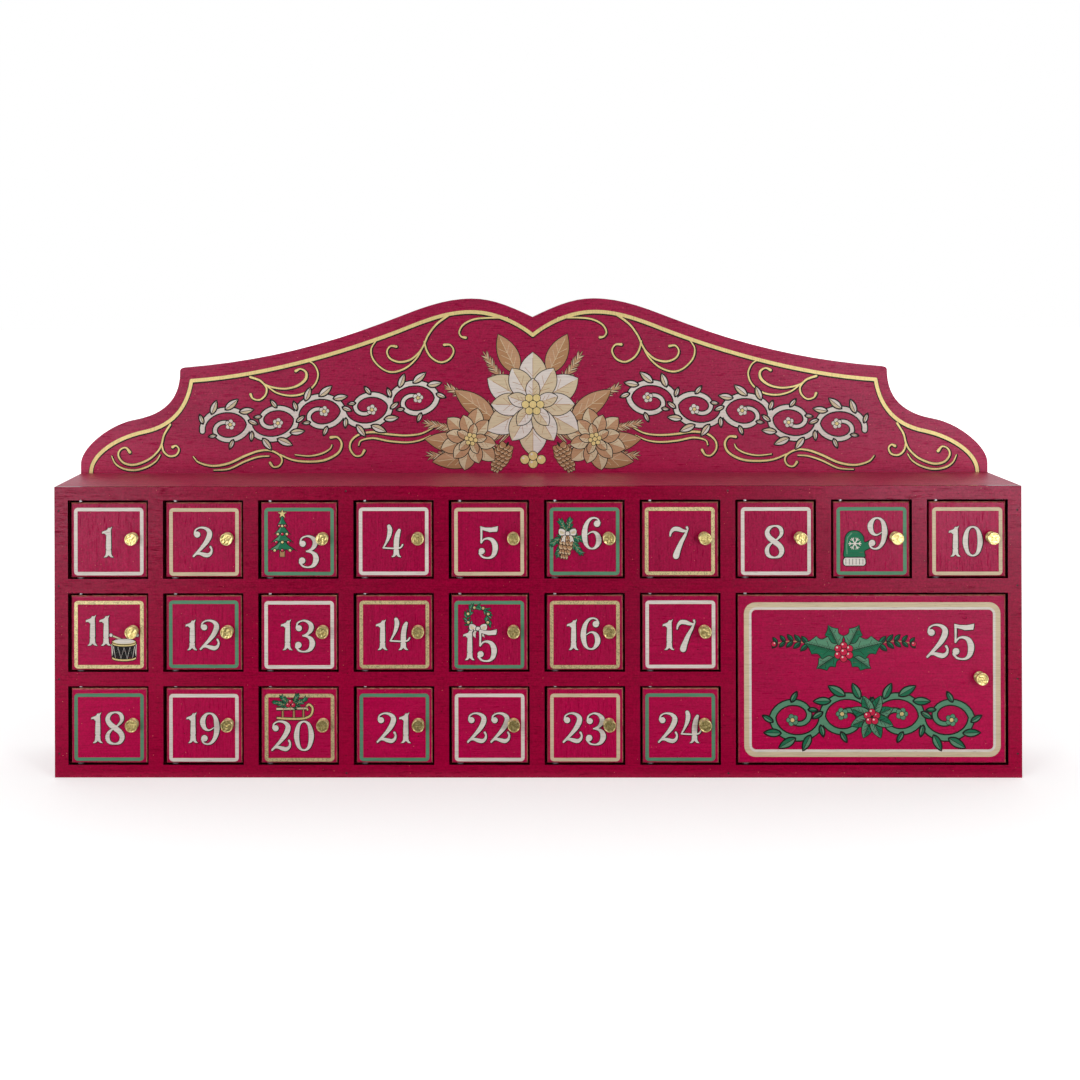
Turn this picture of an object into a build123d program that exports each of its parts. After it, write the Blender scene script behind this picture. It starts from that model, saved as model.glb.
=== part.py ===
"""Wooden countdown calendar: a shallow cabinet of small compartments behind doors on pivot pins.

The origin is the middle of the base, on the surface it stands on. X runs to the right, Y to the back, Z up.
"""
import os
from typing import NamedTuple

from build123d import *

# Compartments: a grid of openings, whose last rows end in one large opening.
COLUMNS = 10
ROWS = 3
BIG_COLUMNS = 3
BIG_ROWS = 2
OPENING_WIDTH = 40.3
OPENING_HEIGHT = 39.4

# Boards of the cabinet.
SIDE_THICKNESS = 6.8
TOP_THICKNESS = 6.7
BOTTOM_THICKNESS = 6.35
SHELF_THICKNESS = 7.15
DIVIDER_THICKNESS = 7.4
FACE_THICKNESS = 3.0
BACK_THICKNESS = 6.0
DEPTH = 60.0

# Outline of the crest, half of it: insets from the side edge, offsets from the middle, rises above the box.
EAR_FOOT = 5.0
EAR_TURN_INSET = 26.7
EAR_TURN_RISE = 28.0
EAR_TURN_SLOPE = 0.18
SHOULDER_INSET = 53.2
SHOULDER_RISE = 56.3
SHOULDER_ROUND = 1.8
SWEEP_START_SLOPE = 0.08
SWEEP_TURN_OFFSET = 72.0
SWEEP_TURN_RISE = 83.1
SWEEP_TURN_SLOPE = 0.39
PEAK_OFFSET = 32.5
PEAK_RISE = 92.9
NOTCH_RISE = 83.0
NOTCH_SLOPE = 0.48
ROUND_PULL = 0.4
HOLLOW_PULL = 0.62
SWEEP_PULL = 0.35

# Doors and the gaps round them.
DOOR_THICKNESS = 6.0
DOOR_RECESS = 1.2
DOOR_EASE = 1.0
HINGE_SIDE_GAP = 1.33
LATCH_SIDE_GAP = 0.8
HEAD_GAP = 1.27
SWING_CLEARANCE = 0.36

# Pivot pins and washers.
PIN_RADIUS = 0.75
PIN_IN_DOOR = 4.0
PIN_END_CLEARANCE = 0.3
PIN_WEB = 1.15
PIN_RUNNING_CLEARANCE = 0.05
SEAT_CLEARANCE = 0.02
WASHER_RADIUS = 1.75
WASHER_THICKNESS = 0.5
WASHER_PLAY = 0.05

# Stop block behind the free corner of each door.
STOP_WIDTH = 3.2
STOP_HEIGHT = 5.0
STOP_DEPTH = 4.0
STOP_GAP = 0.3

# Spool-shaped knob with a shank in a blind hole.
KNOB_HEAD_RADIUS = 3.1
KNOB_HEAD_THICKNESS = 1.3
KNOB_HEAD_CROWN = 0.25
KNOB_HEAD_BEVEL = 0.3
KNOB_WAIST_RADIUS = 1.5
KNOB_BASE_RADIUS = 2.9
KNOB_BASE_THICKNESS = 0.8
KNOB_PROJECTION = 5.0
KNOB_SHANK_RADIUS = 1.1
KNOB_SHANK_COVER = 2.0
KNOB_INSET = 8.0
BIG_KNOB_INSET = 14.0
KNOB_RISE = 1.0

# Brads through the face and the back into the edges of the boards.
BRAD_RADIUS = 0.5
BRAD_LENGTH = 15.0
BRAD_SINK = 0.2
BRAD_EDGE = 2.2
BRAD_END = 12.0
BRAD_COLUMNS = (3, 7)

# Places that follow from these sizes.
column_pitch = OPENING_WIDTH + DIVIDER_THICKNESS
row_pitch = OPENING_HEIGHT + SHELF_THICKNESS
width = 2 * SIDE_THICKNESS + COLUMNS * column_pitch - DIVIDER_THICKNESS
box_height = BOTTOM_THICKNESS + ROWS * row_pitch - SHELF_THICKNESS + TOP_THICKNESS
front = -DEPTH / 2
face_back = front + FACE_THICKNESS
back_front = DEPTH / 2 - BACK_THICKNESS
inner_left = SIDE_THICKNESS - width / 2
inner_right = -inner_left
inner_top = box_height - TOP_THICKNESS
small_columns = COLUMNS - BIG_COLUMNS
board_depth = (face_back, back_front)
door_front = front + DOOR_RECESS
door_back = door_front + DOOR_THICKNESS
hinge_depth = (door_front + door_back) / 2
swing_gap = HINGE_SIDE_GAP - SWING_CLEARANCE
hinge_inset = HINGE_SIDE_GAP + ((DOOR_THICKNESS / 2) ** 2 - swing_gap**2) / (2 * swing_gap)
pin_seat = (SHELF_THICKNESS - PIN_WEB) / 2
shank_length = DOOR_THICKNESS - KNOB_SHANK_COVER


class Opening(NamedTuple):
    """One compartment's mouth in the face, from its lower left corner."""

    left: float
    bottom: float
    width: float
    height: float

    @property
    def right(self):
        return self.left + self.width

    @property
    def top(self):
        return self.bottom + self.height

    @property
    def hinge(self):
        return self.left + hinge_inset

    @property
    def door_bottom(self):
        return self.bottom + WASHER_THICKNESS + WASHER_PLAY

    @property
    def door_top(self):
        return self.top - HEAD_GAP

    @property
    def knob(self):
        inset = KNOB_INSET if self.width == OPENING_WIDTH else BIG_KNOB_INSET
        return self.right - inset, (self.door_bottom + self.door_top) / 2 + KNOB_RISE


def column_left(column):
    return inner_left + column * column_pitch


def row_bottom(row):
    """Lower edge of a row's openings; row 0 is the top row."""
    return BOTTOM_THICKNESS + (ROWS - 1 - row) * row_pitch


def list_openings():
    """All openings in the order of their doors' numbers, the large one last."""
    openings = []
    for row in range(ROWS):
        columns = COLUMNS if row < ROWS - BIG_ROWS else small_columns
        for column in range(columns):
            openings.append(Opening(column_left(column), row_bottom(row), OPENING_WIDTH, OPENING_HEIGHT))
    big_width = BIG_COLUMNS * column_pitch - DIVIDER_THICKNESS
    big_height = BIG_ROWS * row_pitch - SHELF_THICKNESS
    openings.append(Opening(column_left(small_columns), BOTTOM_THICKNESS, big_width, big_height))
    return openings


def block(x, y, z):
    """A box between a low and a high value on each axis."""
    size = [high - low for low, high in (x, y, z)]
    return Pos(x[0], y[0], z[0]) * Box(*size, align=Align.MIN)


def upright_rod(x, y, low, high, radius):
    return Pos(x, y, low) * Cylinder(radius, high - low, align=(Align.CENTER, Align.CENTER, Align.MIN))


def level_rod(x, z, start, end, radius):
    """A rod along Y from start to end."""
    turned = Rot(-90, 0, 0) * Cylinder(radius, end - start, align=(Align.CENTER, Align.CENTER, Align.MIN))
    return Pos(x, start, z) * turned


def pin_spans(opening):
    """Low and high end of an opening's lower and upper pin."""
    lower = (opening.bottom - pin_seat, opening.door_bottom + PIN_IN_DOOR)
    upper = (opening.door_top - PIN_IN_DOOR, opening.top + pin_seat)
    return lower, upper


def seat_holes(openings):
    """Blind holes in the boards that hold the pins."""
    radius = PIN_RADIUS + SEAT_CLEARANCE
    holes = []
    for opening in openings:
        lower, upper = pin_spans(opening)
        holes.append(upright_rod(opening.hinge, hinge_depth, lower[0], opening.bottom, radius))
        holes.append(upright_rod(opening.hinge, hinge_depth, opening.top, upper[1], radius))
    return holes


def brad_places():
    """X and Z of every brad, alike on the face and on the back."""
    side_x = width / 2 - BRAD_EDGE
    shelf_levels = [row_bottom(row) - SHELF_THICKNESS / 2 for row in range(ROWS - 1)]
    side_levels = [BRAD_END, *shelf_levels, box_height - BRAD_END]
    places = [(x, z) for x in (-side_x, side_x) for z in side_levels]
    for column in BRAD_COLUMNS:
        stile = column_left(column) - DIVIDER_THICKNESS / 2
        places.append((stile, BRAD_EDGE))
        places.append((stile, box_height - BRAD_EDGE))
    return places


def brad_rods(radius):
    """Brads of a radius, through the face and through the back."""
    rods = []
    for x, z in brad_places():
        head = front + BRAD_SINK
        rods.append(level_rod(x, z, head, head + BRAD_LENGTH, radius))
        head = DEPTH / 2 - BRAD_SINK
        rods.append(level_rod(x, z, head - BRAD_LENGTH, head, radius))
    return rods


def brad_holes():
    """Holes for the brads, open at the face and at the back."""
    radius = BRAD_RADIUS + SEAT_CLEARANCE
    holes = []
    for x, z in brad_places():
        end = front + BRAD_SINK + BRAD_LENGTH
        holes.append(level_rod(x, z, front, end, radius))
        end = DEPTH / 2 - BRAD_SINK - BRAD_LENGTH
        holes.append(level_rod(x, z, end, DEPTH / 2, radius))
    return holes


def ogee(start, leave, end, arrive, pull):
    """A cubic curve; leave and arrive are its directions, pull the reach of its handles along each span."""
    run = abs(end[0] - start[0])
    rise = abs(end[1] - start[1])
    reach_out = pull * (run if leave[0] else rise)
    reach_in = pull * (run if arrive[0] else rise)
    handle_out = (start[0] + reach_out * leave[0], start[1] + reach_out * leave[1])
    handle_in = (end[0] - reach_in * arrive[0], end[1] - reach_in * arrive[1])
    return Bezier(start, handle_out, handle_in, end)


def half_crest():
    """Right half of the crest's outline, from the box's edge up and in to the notch in the middle."""
    edge = width / 2
    foot = (edge, box_height + EAR_FOOT)
    ear_turn = (edge - EAR_TURN_INSET, box_height + EAR_TURN_RISE)
    shoulder_x = edge - SHOULDER_INSET
    shoulder_z = box_height + SHOULDER_RISE
    shoulder_side = (shoulder_x, shoulder_z - SHOULDER_ROUND)
    shoulder_top = (shoulder_x - SHOULDER_ROUND, shoulder_z)
    sweep_turn = (SWEEP_TURN_OFFSET, box_height + SWEEP_TURN_RISE)
    peak = (PEAK_OFFSET, box_height + PEAK_RISE)
    notch = (0, box_height + NOTCH_RISE)
    up = (0, 1)
    level = (-1, 0)
    ear = (-1, EAR_TURN_SLOPE)
    sweep = (-1, SWEEP_TURN_SLOPE)
    return [
        Line((edge, 0), foot),
        ogee(foot, up, ear_turn, ear, ROUND_PULL),
        ogee(ear_turn, ear, shoulder_side, up, HOLLOW_PULL),
        TangentArc([shoulder_side, shoulder_top], tangent=up),
        ogee(shoulder_top, (-1, SWEEP_START_SLOPE), sweep_turn, sweep, SWEEP_PULL),
        ogee(sweep_turn, sweep, peak, level, SWEEP_PULL),
        ogee(peak, level, notch, (-1, -NOTCH_SLOPE), SWEEP_PULL),
    ]


def make_back_board(holes):
    """Back of the box and the crest above it, cut from one board."""
    right = half_crest()
    left = [mirror(edge, about=Plane.YZ) for edge in right]
    base = Line((-width / 2, 0), (width / 2, 0))
    outline = make_face([base, *right, *left])
    plane = Plane(origin=(0, back_front, 0), x_dir=(1, 0, 0), z_dir=(0, -1, 0))
    return extrude(plane * outline, amount=-BACK_THICKNESS) - holes


def make_face_frame(openings, holes):
    """Thin front board with a mouth for each compartment."""
    board = block((-width / 2, width / 2), (front, face_back), (0, box_height))
    mouths = [
        block((opening.left, opening.right), (front, face_back), (opening.bottom, opening.top))
        for opening in openings
    ]
    return board - mouths - holes


def make_side_boards(holes):
    upright = (BOTTOM_THICKNESS, inner_top)
    left = block((-width / 2, inner_left), board_depth, upright) - holes
    right = block((inner_right, width / 2), board_depth, upright) - holes
    return [left, right]


def make_shelves(holes):
    """A full shelf under the top rows, and short ones beside the large compartment."""
    shelves = []
    for row in range(ROWS - 1):
        columns = COLUMNS if row < ROWS - BIG_ROWS else small_columns
        span = (inner_left, column_left(columns) - DIVIDER_THICKNESS)
        top = row_bottom(row)
        shelves.append(block(span, board_depth, (top - SHELF_THICKNESS, top)) - holes)
    return shelves


def make_dividers(holes):
    """Uprights between the compartments, one of them as tall as the large compartment."""
    dividers = []
    for row in range(ROWS):
        columns = COLUMNS if row < ROWS - BIG_ROWS else small_columns
        bottom = row_bottom(row)
        for column in range(1, columns):
            right = column_left(column)
            span = (right - DIVIDER_THICKNESS, right)
            dividers.append(block(span, board_depth, (bottom, bottom + OPENING_HEIGHT)) - holes)
    right = column_left(small_columns)
    tall = (BOTTOM_THICKNESS, BOTTOM_THICKNESS + BIG_ROWS * row_pitch - SHELF_THICKNESS)
    dividers.append(block((right - DIVIDER_THICKNESS, right), board_depth, tall) - holes)
    return dividers


def make_hinge_hardware(openings):
    """Two pins and a washer for each door."""
    pieces = []
    for opening in openings:
        for low, high in pin_spans(opening):
            pieces.append(upright_rod(opening.hinge, hinge_depth, low, high, PIN_RADIUS))
        washer_span = (opening.bottom, opening.bottom + WASHER_THICKNESS)
        washer = upright_rod(opening.hinge, hinge_depth, *washer_span, WASHER_RADIUS)
        bore = upright_rod(opening.hinge, hinge_depth, *washer_span, PIN_RADIUS + PIN_RUNNING_CLEARANCE)
        pieces.append(washer - bore)
    return pieces


def make_door_stops(openings):
    """A block in the top corner behind the free side of each door."""
    near = door_back + STOP_GAP
    return [
        block(
            (opening.right - STOP_WIDTH, opening.right),
            (near, near + STOP_DEPTH),
            (opening.top - STOP_HEIGHT, opening.top),
        )
        for opening in openings
    ]


def make_door(opening):
    """A door with eased front edges, a hole for each pin and a blind hole for the knob."""
    span = (opening.left + HINGE_SIDE_GAP, opening.right - LATCH_SIDE_GAP)
    door = block(span, (door_front, door_back), (opening.door_bottom, opening.door_top))
    front_edges = door.faces().sort_by(Axis.Y)[0].edges()
    door = fillet(front_edges, DOOR_EASE)
    bore = PIN_RADIUS + PIN_RUNNING_CLEARANCE
    hole_length = PIN_IN_DOOR + PIN_END_CLEARANCE
    lower = (opening.door_bottom, opening.door_bottom + hole_length)
    upper = (opening.door_top - hole_length, opening.door_top)
    knob_x, knob_z = opening.knob
    holes = [
        upright_rod(opening.hinge, hinge_depth, *lower, bore),
        upright_rod(opening.hinge, hinge_depth, *upper, bore),
        level_rod(knob_x, knob_z, door_front, door_front + shank_length, KNOB_SHANK_RADIUS + SEAT_CLEARANCE),
    ]
    return door - holes


def make_knob():
    """A turned knob on its axis, its shank along +Y and its head towards -Y, seated at y = 0."""
    head_back = -(KNOB_PROJECTION - KNOB_HEAD_THICKNESS)
    rim = -(KNOB_PROJECTION - KNOB_HEAD_CROWN)
    bevel_start = rim + KNOB_HEAD_BEVEL
    waist = (head_back - KNOB_BASE_THICKNESS) / 2
    crown = (0, -KNOB_PROJECTION)
    rim_edge = (KNOB_HEAD_RADIUS - KNOB_HEAD_BEVEL, rim)
    neck_base = (KNOB_BASE_RADIUS, -KNOB_BASE_THICKNESS)
    neck_head = (KNOB_HEAD_RADIUS, head_back)
    profile = [
        Line((0, shank_length), (KNOB_SHANK_RADIUS, shank_length)),
        Line((KNOB_SHANK_RADIUS, shank_length), (KNOB_SHANK_RADIUS, 0)),
        Line((KNOB_SHANK_RADIUS, 0), (KNOB_BASE_RADIUS, 0)),
        Line((KNOB_BASE_RADIUS, 0), neck_base),
        ThreePointArc(neck_base, (KNOB_WAIST_RADIUS, waist), neck_head),
        Line(neck_head, (KNOB_HEAD_RADIUS, bevel_start)),
        Line((KNOB_HEAD_RADIUS, bevel_start), rim_edge),
        TangentArc([crown, rim_edge], tangent=(1, 0)),
        Line(crown, (0, shank_length)),
    ]
    return revolve(make_face(profile), axis=Axis.Y)


def write_node(name, solids):
    """Write one piece, or a group of separate pieces, as a node."""
    shape = Compound(children=[Part(solid.wrapped) for solid in solids]) if isinstance(solids, list) else solids
    shape.label = name
    export_step(shape, f"parts/{name}.step")


def main():
    os.makedirs("parts", exist_ok=True)
    openings = list_openings()
    holes = brad_holes()
    seats = seat_holes(openings)
    bored = holes + seats
    top_board = block((-width / 2, width / 2), board_depth, (inner_top, box_height))
    bottom_board = block((-width / 2, width / 2), board_depth, (0, BOTTOM_THICKNESS))
    write_node("face_frame", make_face_frame(openings, bored))
    write_node("top_board", top_board - bored)
    write_node("bottom_board", bottom_board - bored)
    write_node("side_boards", make_side_boards(holes))
    write_node("back_board", make_back_board(holes))
    write_node("shelves", make_shelves(bored))
    write_node("dividers", make_dividers(holes))
    write_node("hinge_hardware", make_hinge_hardware(openings))
    write_node("door_stops", make_door_stops(openings))
    write_node("brads", brad_rods(BRAD_RADIUS))
    knob = make_knob()
    for number, opening in enumerate(openings, start=1):
        knob_x, knob_z = opening.knob
        write_node(f"door_{number:02}", make_door(opening))
        write_node(f"knob_{number:02}", Pos(knob_x, door_front, knob_z) * knob)


main()
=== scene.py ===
import math
import random

import bpy
import numpy as np
from mathutils import Matrix, Vector
from mathutils.geometry import delaunay_2d_cdt


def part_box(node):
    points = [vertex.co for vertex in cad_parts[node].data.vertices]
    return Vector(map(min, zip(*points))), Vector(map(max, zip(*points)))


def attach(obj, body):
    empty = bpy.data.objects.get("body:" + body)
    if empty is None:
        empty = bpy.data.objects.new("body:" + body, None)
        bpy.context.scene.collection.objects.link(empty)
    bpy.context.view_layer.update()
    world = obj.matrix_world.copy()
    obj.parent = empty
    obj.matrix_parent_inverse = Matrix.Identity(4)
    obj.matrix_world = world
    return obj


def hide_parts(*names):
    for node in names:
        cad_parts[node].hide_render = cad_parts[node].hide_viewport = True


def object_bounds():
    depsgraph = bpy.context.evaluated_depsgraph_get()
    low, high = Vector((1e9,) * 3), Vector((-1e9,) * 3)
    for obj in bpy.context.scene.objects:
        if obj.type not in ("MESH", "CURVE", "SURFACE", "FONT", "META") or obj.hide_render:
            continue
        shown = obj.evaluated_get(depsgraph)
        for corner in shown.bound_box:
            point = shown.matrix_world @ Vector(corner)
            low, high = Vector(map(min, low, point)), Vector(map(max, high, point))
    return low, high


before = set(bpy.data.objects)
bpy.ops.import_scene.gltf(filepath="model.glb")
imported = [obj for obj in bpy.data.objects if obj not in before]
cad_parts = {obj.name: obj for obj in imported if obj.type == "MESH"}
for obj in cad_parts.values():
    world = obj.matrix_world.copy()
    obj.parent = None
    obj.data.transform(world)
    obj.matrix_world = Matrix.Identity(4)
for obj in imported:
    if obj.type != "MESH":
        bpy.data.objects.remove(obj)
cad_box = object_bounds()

MM = 0.001
DOORS = range(1, 26)
BIG_DOOR = 25
VERTICAL_GRAIN_DOORS = (1, 2, 3, 4, 5, 6, 7, 8, 9, 10, 12, 14, 15, 16, 19, 23)

# Colours, as sRGB 0 to 255.
CABINET_RED = (127, 0, 41)
DOOR_RED = (144, 0, 54)
CREST_RED = (140, 6, 54)
# Painted sheen: a lighter red for faces that look up, as the top board catching the backdrop.
PAINTED_SHEEN_RED = (180, 48, 80)
# Rubbed wood on the doors' eased edges, lighter than wear alone as a painted highlight on the right and
# top edges.
WEAR_AND_HIGHLIGHT_WOOD = (172, 116, 92)
# Painted shade: near black on the doors' side and top faces in the gaps, taken also as burnt cut edges.
SIDE_BURN_AND_SHADE = (24, 9, 10)
SPECK = (226, 150, 120)
BURNT_EDGE = (34, 12, 12)
# Painted shade: near black on the face board's mouth walls, taken also as burnt cut edges.
CHAR_AND_SHADE = (12, 5, 6)
# Painted shade: the washers in the gap under each row of doors are darker than the pins.
WASHER_PAINTED_SHADE = (122, 114, 120)
STEEL = ((246, 247, 250), (214, 216, 222))
BRAD_FILLER = ((70, 20, 30), (30, 18, 20))
STOP_WOOD = ((112, 92, 86), (70, 56, 54))
# Painted reflection: the rim's brass lighter, as if it caught the lamps, and the face's darker, as if
# it showed the dim room.
RIM_BRASS_LIT = ((244, 230, 172), (212, 184, 106))
FACE_BRASS_SHADED = ((230, 211, 144), (182, 156, 88))
INK_COLOURS = {
    "black": (15, 12, 14),
    "cream": (209, 201, 193),
    "gold": (214, 192, 128),
    "tan": (198, 181, 150),
    "glitter": (224, 208, 154),
    "sage": (82, 134, 104),
    "green": (14, 104, 70),
    "pine": (8, 62, 44),
    "fawn": (178, 138, 104),
    "red": (190, 22, 62),
    "brown": (164, 122, 84),
}


def linear(colour):
    """sRGB 0 to 255 as linear values with alpha."""
    values = [channel / 255 for channel in colour]
    return [v / 12.92 if v <= 0.04045 else ((v + 0.055) / 1.055) ** 2.4 for v in values] + [1.0]


def shaded(colour, factor):
    """A linear colour, darker or lighter by a factor."""
    return [channel * factor for channel in colour[:3]] + [1.0]


def middle(box):
    """Centre of a box in X and Z."""
    low, high = box
    return (low[0] + high[0]) / 2, (low[2] + high[2]) / 2


def put(name, data):
    """A new object in the scene."""
    piece = bpy.data.objects.new(name, data)
    bpy.context.scene.collection.objects.link(piece)
    return piece


# Materials

class Graph:
    """The node tree of a material or of the world, with short calls to add and join nodes."""

    # The noise's own lattice is turned, so that stretched grain doesn't line up in columns.
    LATTICE_TURN = (0.5, 0.6, 0.7)

    def __init__(self, owner):
        owner.use_nodes = True
        self.owner = owner
        self.tree = owner.node_tree

    @classmethod
    def material(cls, name):
        return cls(bpy.data.materials.new(name))

    def add(self, kind, inputs=None, **settings):
        """Add a node; inputs maps socket names or indices to values or to output sockets."""
        node = self.tree.nodes.new(kind)
        for key, value in settings.items():
            setattr(node, key, value)
        for key, value in (inputs or {}).items():
            self.set(node, key, value)
        return node

    def set(self, node, key, value):
        socket = node.inputs[key]
        if isinstance(value, bpy.types.NodeSocket):
            self.tree.links.new(value, socket)
        else:
            socket.default_value = value

    def coordinates(self, scale=(1, 1, 1), turn=(0, 0, 0)):
        """Place in the object's own axes, scaled and turned."""
        source = self.add("ShaderNodeTexCoord").outputs["Object"]
        inputs = {"Vector": source, "Scale": scale, "Rotation": turn}
        return self.add("ShaderNodeMapping", inputs).outputs["Vector"]

    def place(self, axis):
        """One coordinate in the object's own axes."""
        return self.add("ShaderNodeSeparateXYZ", {0: self.coordinates()}).outputs[axis]

    def normal_part(self, axis):
        """One component of the surface normal in the object's own axes."""
        normal = self.add("ShaderNodeTexCoord").outputs["Normal"]
        return self.add("ShaderNodeSeparateXYZ", {0: normal}).outputs[axis]

    def noise(self, scale, detail=2.0, roughness=0.5, stretch=(1, 1, 1)):
        vector = self.coordinates(stretch, self.LATTICE_TURN)
        inputs = {"Vector": vector, "Scale": scale, "Detail": detail, "Roughness": roughness}
        return self.add("ShaderNodeTexNoise", inputs).outputs["Fac"]

    def cells(self, scale):
        """A random value for each texture cell, and the distance from the cell's middle."""
        node = self.add("ShaderNodeTexVoronoi", {"Vector": self.coordinates(), "Scale": scale})
        chance = self.add("ShaderNodeSeparateColor", {0: node.outputs["Color"]}).outputs[0]
        return chance, node.outputs["Distance"]

    def ramp(self, value, low, high, start=0.0, end=1.0, kind="SMOOTHSTEP"):
        """Map value from low..high to start..end, clamped."""
        inputs = {"Value": value, "From Min": low, "From Max": high, "To Min": start, "To Max": end}
        return self.add("ShaderNodeMapRange", inputs, interpolation_type=kind).outputs["Result"]

    def math(self, operation, first, second=0.0):
        return self.add("ShaderNodeMath", {0: first, 1: second}, operation=operation).outputs[0]

    def times(self, first, second):
        return self.math("MULTIPLY", first, second)

    def mix(self, factor, first, second):
        inputs = {"Factor": factor, 6: first, 7: second}
        return self.add("ShaderNodeMix", inputs, data_type="RGBA").outputs[2]

    def scaled(self, colour, factor):
        inputs = {0: colour, "Scale": factor}
        return self.add("ShaderNodeVectorMath", inputs, operation="SCALE").outputs["Vector"]

    def bump(self, height, strength, distance):
        inputs = {"Height": height, "Strength": strength, "Distance": distance}
        return self.add("ShaderNodeBump", inputs).outputs["Normal"]

    def finish(self, **sockets):
        """Set the surface's sockets and return the material."""
        for name, value in sockets.items():
            self.set(self.tree.nodes["Principled BSDF"], name.replace("_", " "), value)
        return self.owner


GRAIN_LONG = 30.0
GRAIN_FINE = 1300.0
PORE_LONG = 190.0
PORE_FINE = 2700.0
PORE_SHADE = 0.5
STREAK_SHADE = 1.2
CLOUD_SCALE = 18.0
PEEL_SCALE = 1100.0
PEEL_SHADE = (0.82, 1.18)
SPECK_SCALE = 420.0
SPECK_RADIUS = 0.09
SPECK_TONE = 0.45
PIT_SCALE = 230.0
PIT_RADIUS = 0.085
PIT_SHARE = 0.5
PIT_TONE = 0.9
EDGE_MARGIN = 1.0 * MM
SHEEN_TINT = (1.0, 0.7, 0.86, 1.0)
BAND_SHADE = 0.72
FLAKE_SHADE = 0.55
BRASS_WEAR = 1400.0
WASHER_ROOM = 2.0 * MM

# For each metallic ink: flakes to a metre, their tilt, and how metallic it is.
METAL_INKS = {"gold": (2600.0, 0.3, 0.35), "glitter": (2000.0, 0.9, 0.6)}


def grain_stretch(direction, along, across):
    """Texture scale that runs long features along X or Z."""
    if direction == "x":
        return (along, across, across)
    return (across, across, along)


def cell_specks(graph, scale, radius, share):
    """1 on small round specks: one to a texture cell, for a share of the cells, radius in cells."""
    chance, distance = graph.cells(scale)
    kept = graph.math("LESS_THAN", chance, share)
    return graph.times(kept, graph.ramp(distance, radius, 0.5 * radius))


def painted_wood(name, colour, direction="x", roughness=0.18, gloss=0.24, specks=0.35, pore_tone=0.6,
                 wear_and_painted_light=False, burnt_and_shaded=False, foot=(0.0, 0.12, 1.37), upper=None):
    """Stained wood: streaks and pores along the grain, specks, and where asked worn edges with a
    painted highlight, painted shade on door sides, and burnt mouth walls with painted shade.

    The front is painted lighter lower down, a painted light where the lamps light it less: foot has two
    heights, and the tone at the lower one.
    Faces that look up have the colour upper, if there is one: a painted sheen.
    """
    graph = Graph.material(name)
    streaks = graph.noise(1.0, 3.0, 0.6, grain_stretch(direction, GRAIN_LONG, GRAIN_FINE))
    pores = graph.noise(1.0, 2.0, 0.5, grain_stretch(direction, PORE_LONG, PORE_FINE))
    clouds = graph.noise(CLOUD_SCALE)
    peel = graph.ramp(graph.noise(PEEL_SCALE), 0.3, 0.7, *PEEL_SHADE)
    # Painted sheen: faces that look up take the lighter colour upper.
    painted_sheen_up = graph.ramp(graph.normal_part("Z"), 0.5, 0.8)
    base = graph.mix(painted_sheen_up, linear(colour), linear(upper or colour))
    dark = graph.scaled(base, PORE_SHADE)
    light = graph.scaled(base, STREAK_SHADE)
    mixed = graph.mix(graph.ramp(streaks, 0.35, 0.68), base, light)
    mixed = graph.mix(graph.ramp(clouds, 0.35, 0.8, 0.0, 0.2), mixed, dark)
    pore_mask = graph.ramp(pores, 0.55, 0.68)
    mixed = graph.mix(graph.times(pore_mask, pore_tone), mixed, dark)
    if wear_and_painted_light:
        # Painted shade: the side and top faces of a door, in the gaps, are near black.
        shaded_sides = graph.ramp(graph.math("ABSOLUTE", graph.normal_part("Y")), 0.3, 0.1, 0.0, 0.9)
        mixed = graph.mix(shaded_sides, mixed, linear(SIDE_BURN_AND_SHADE))
        # Rubbed paint with a painted highlight on the eased edges.
        mixed = graph.mix(worn_edges(graph), mixed, linear(WEAR_AND_HIGHLIGHT_WOOD))
    pale = graph.times(cell_specks(graph, SPECK_SCALE, SPECK_RADIUS, specks), SPECK_TONE)
    mixed = graph.mix(pale, mixed, linear(SPECK))
    pits = graph.times(cell_specks(graph, PIT_SCALE, PIT_RADIUS, PIT_SHARE), PIT_TONE)
    mixed = graph.mix(pits, mixed, linear(BURNT_EDGE))
    if burnt_and_shaded:
        # Painted shade: the mouth walls near black, taken also as burnt cut edges.
        mixed = graph.mix(burnt_walls(graph), mixed, linear(CHAR_AND_SHADE))
    # Painted light: the front is lighter lower down, where the lamps light it less.
    low, high, tone = foot
    front = graph.ramp(graph.normal_part("Y"), 0.2, -0.2)
    painted_light_lift = graph.times(graph.ramp(graph.place("Z"), low, high, tone - 1.0, 0.0), front)
    mixed = graph.scaled(mixed, graph.math("ADD", painted_light_lift, peel))
    rough = graph.ramp(clouds, 0.3, 0.7, roughness - 0.03, roughness + 0.06)
    normal = graph.bump(graph.math("SUBTRACT", streaks, pore_mask), 0.2, 0.00012)
    dull = graph.ramp(pore_mask, 0.0, 1.0, gloss, 0.2 * gloss)
    sheen = {"Specular_IOR_Level": dull, "Specular_Tint": SHEEN_TINT}
    return graph.finish(Base_Color=mixed, Roughness=rough, Normal=normal, **sheen)


def worn_edges(graph):
    """Rubbed paint with a painted highlight on a door's eased edges, most of it at the right and at the
    top.
    """
    facing = graph.math("ABSOLUTE", graph.normal_part("Y"))
    edge = graph.times(graph.ramp(facing, 0.985, 0.8), graph.ramp(facing, 0.05, 0.3))
    right = graph.ramp(graph.normal_part("X"), 0.0, 0.4)
    top = graph.ramp(graph.normal_part("Z"), 0.2, 0.7)
    side = graph.math("MINIMUM", graph.math("ADD", right, top), 1.0)
    side = graph.math("MAXIMUM", side, 0.25)
    patchy = graph.ramp(graph.noise(300.0, 5.0, 0.75), 0.36, 0.6, 0.25, 0.95)
    return graph.times(edge, graph.times(side, patchy))


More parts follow.
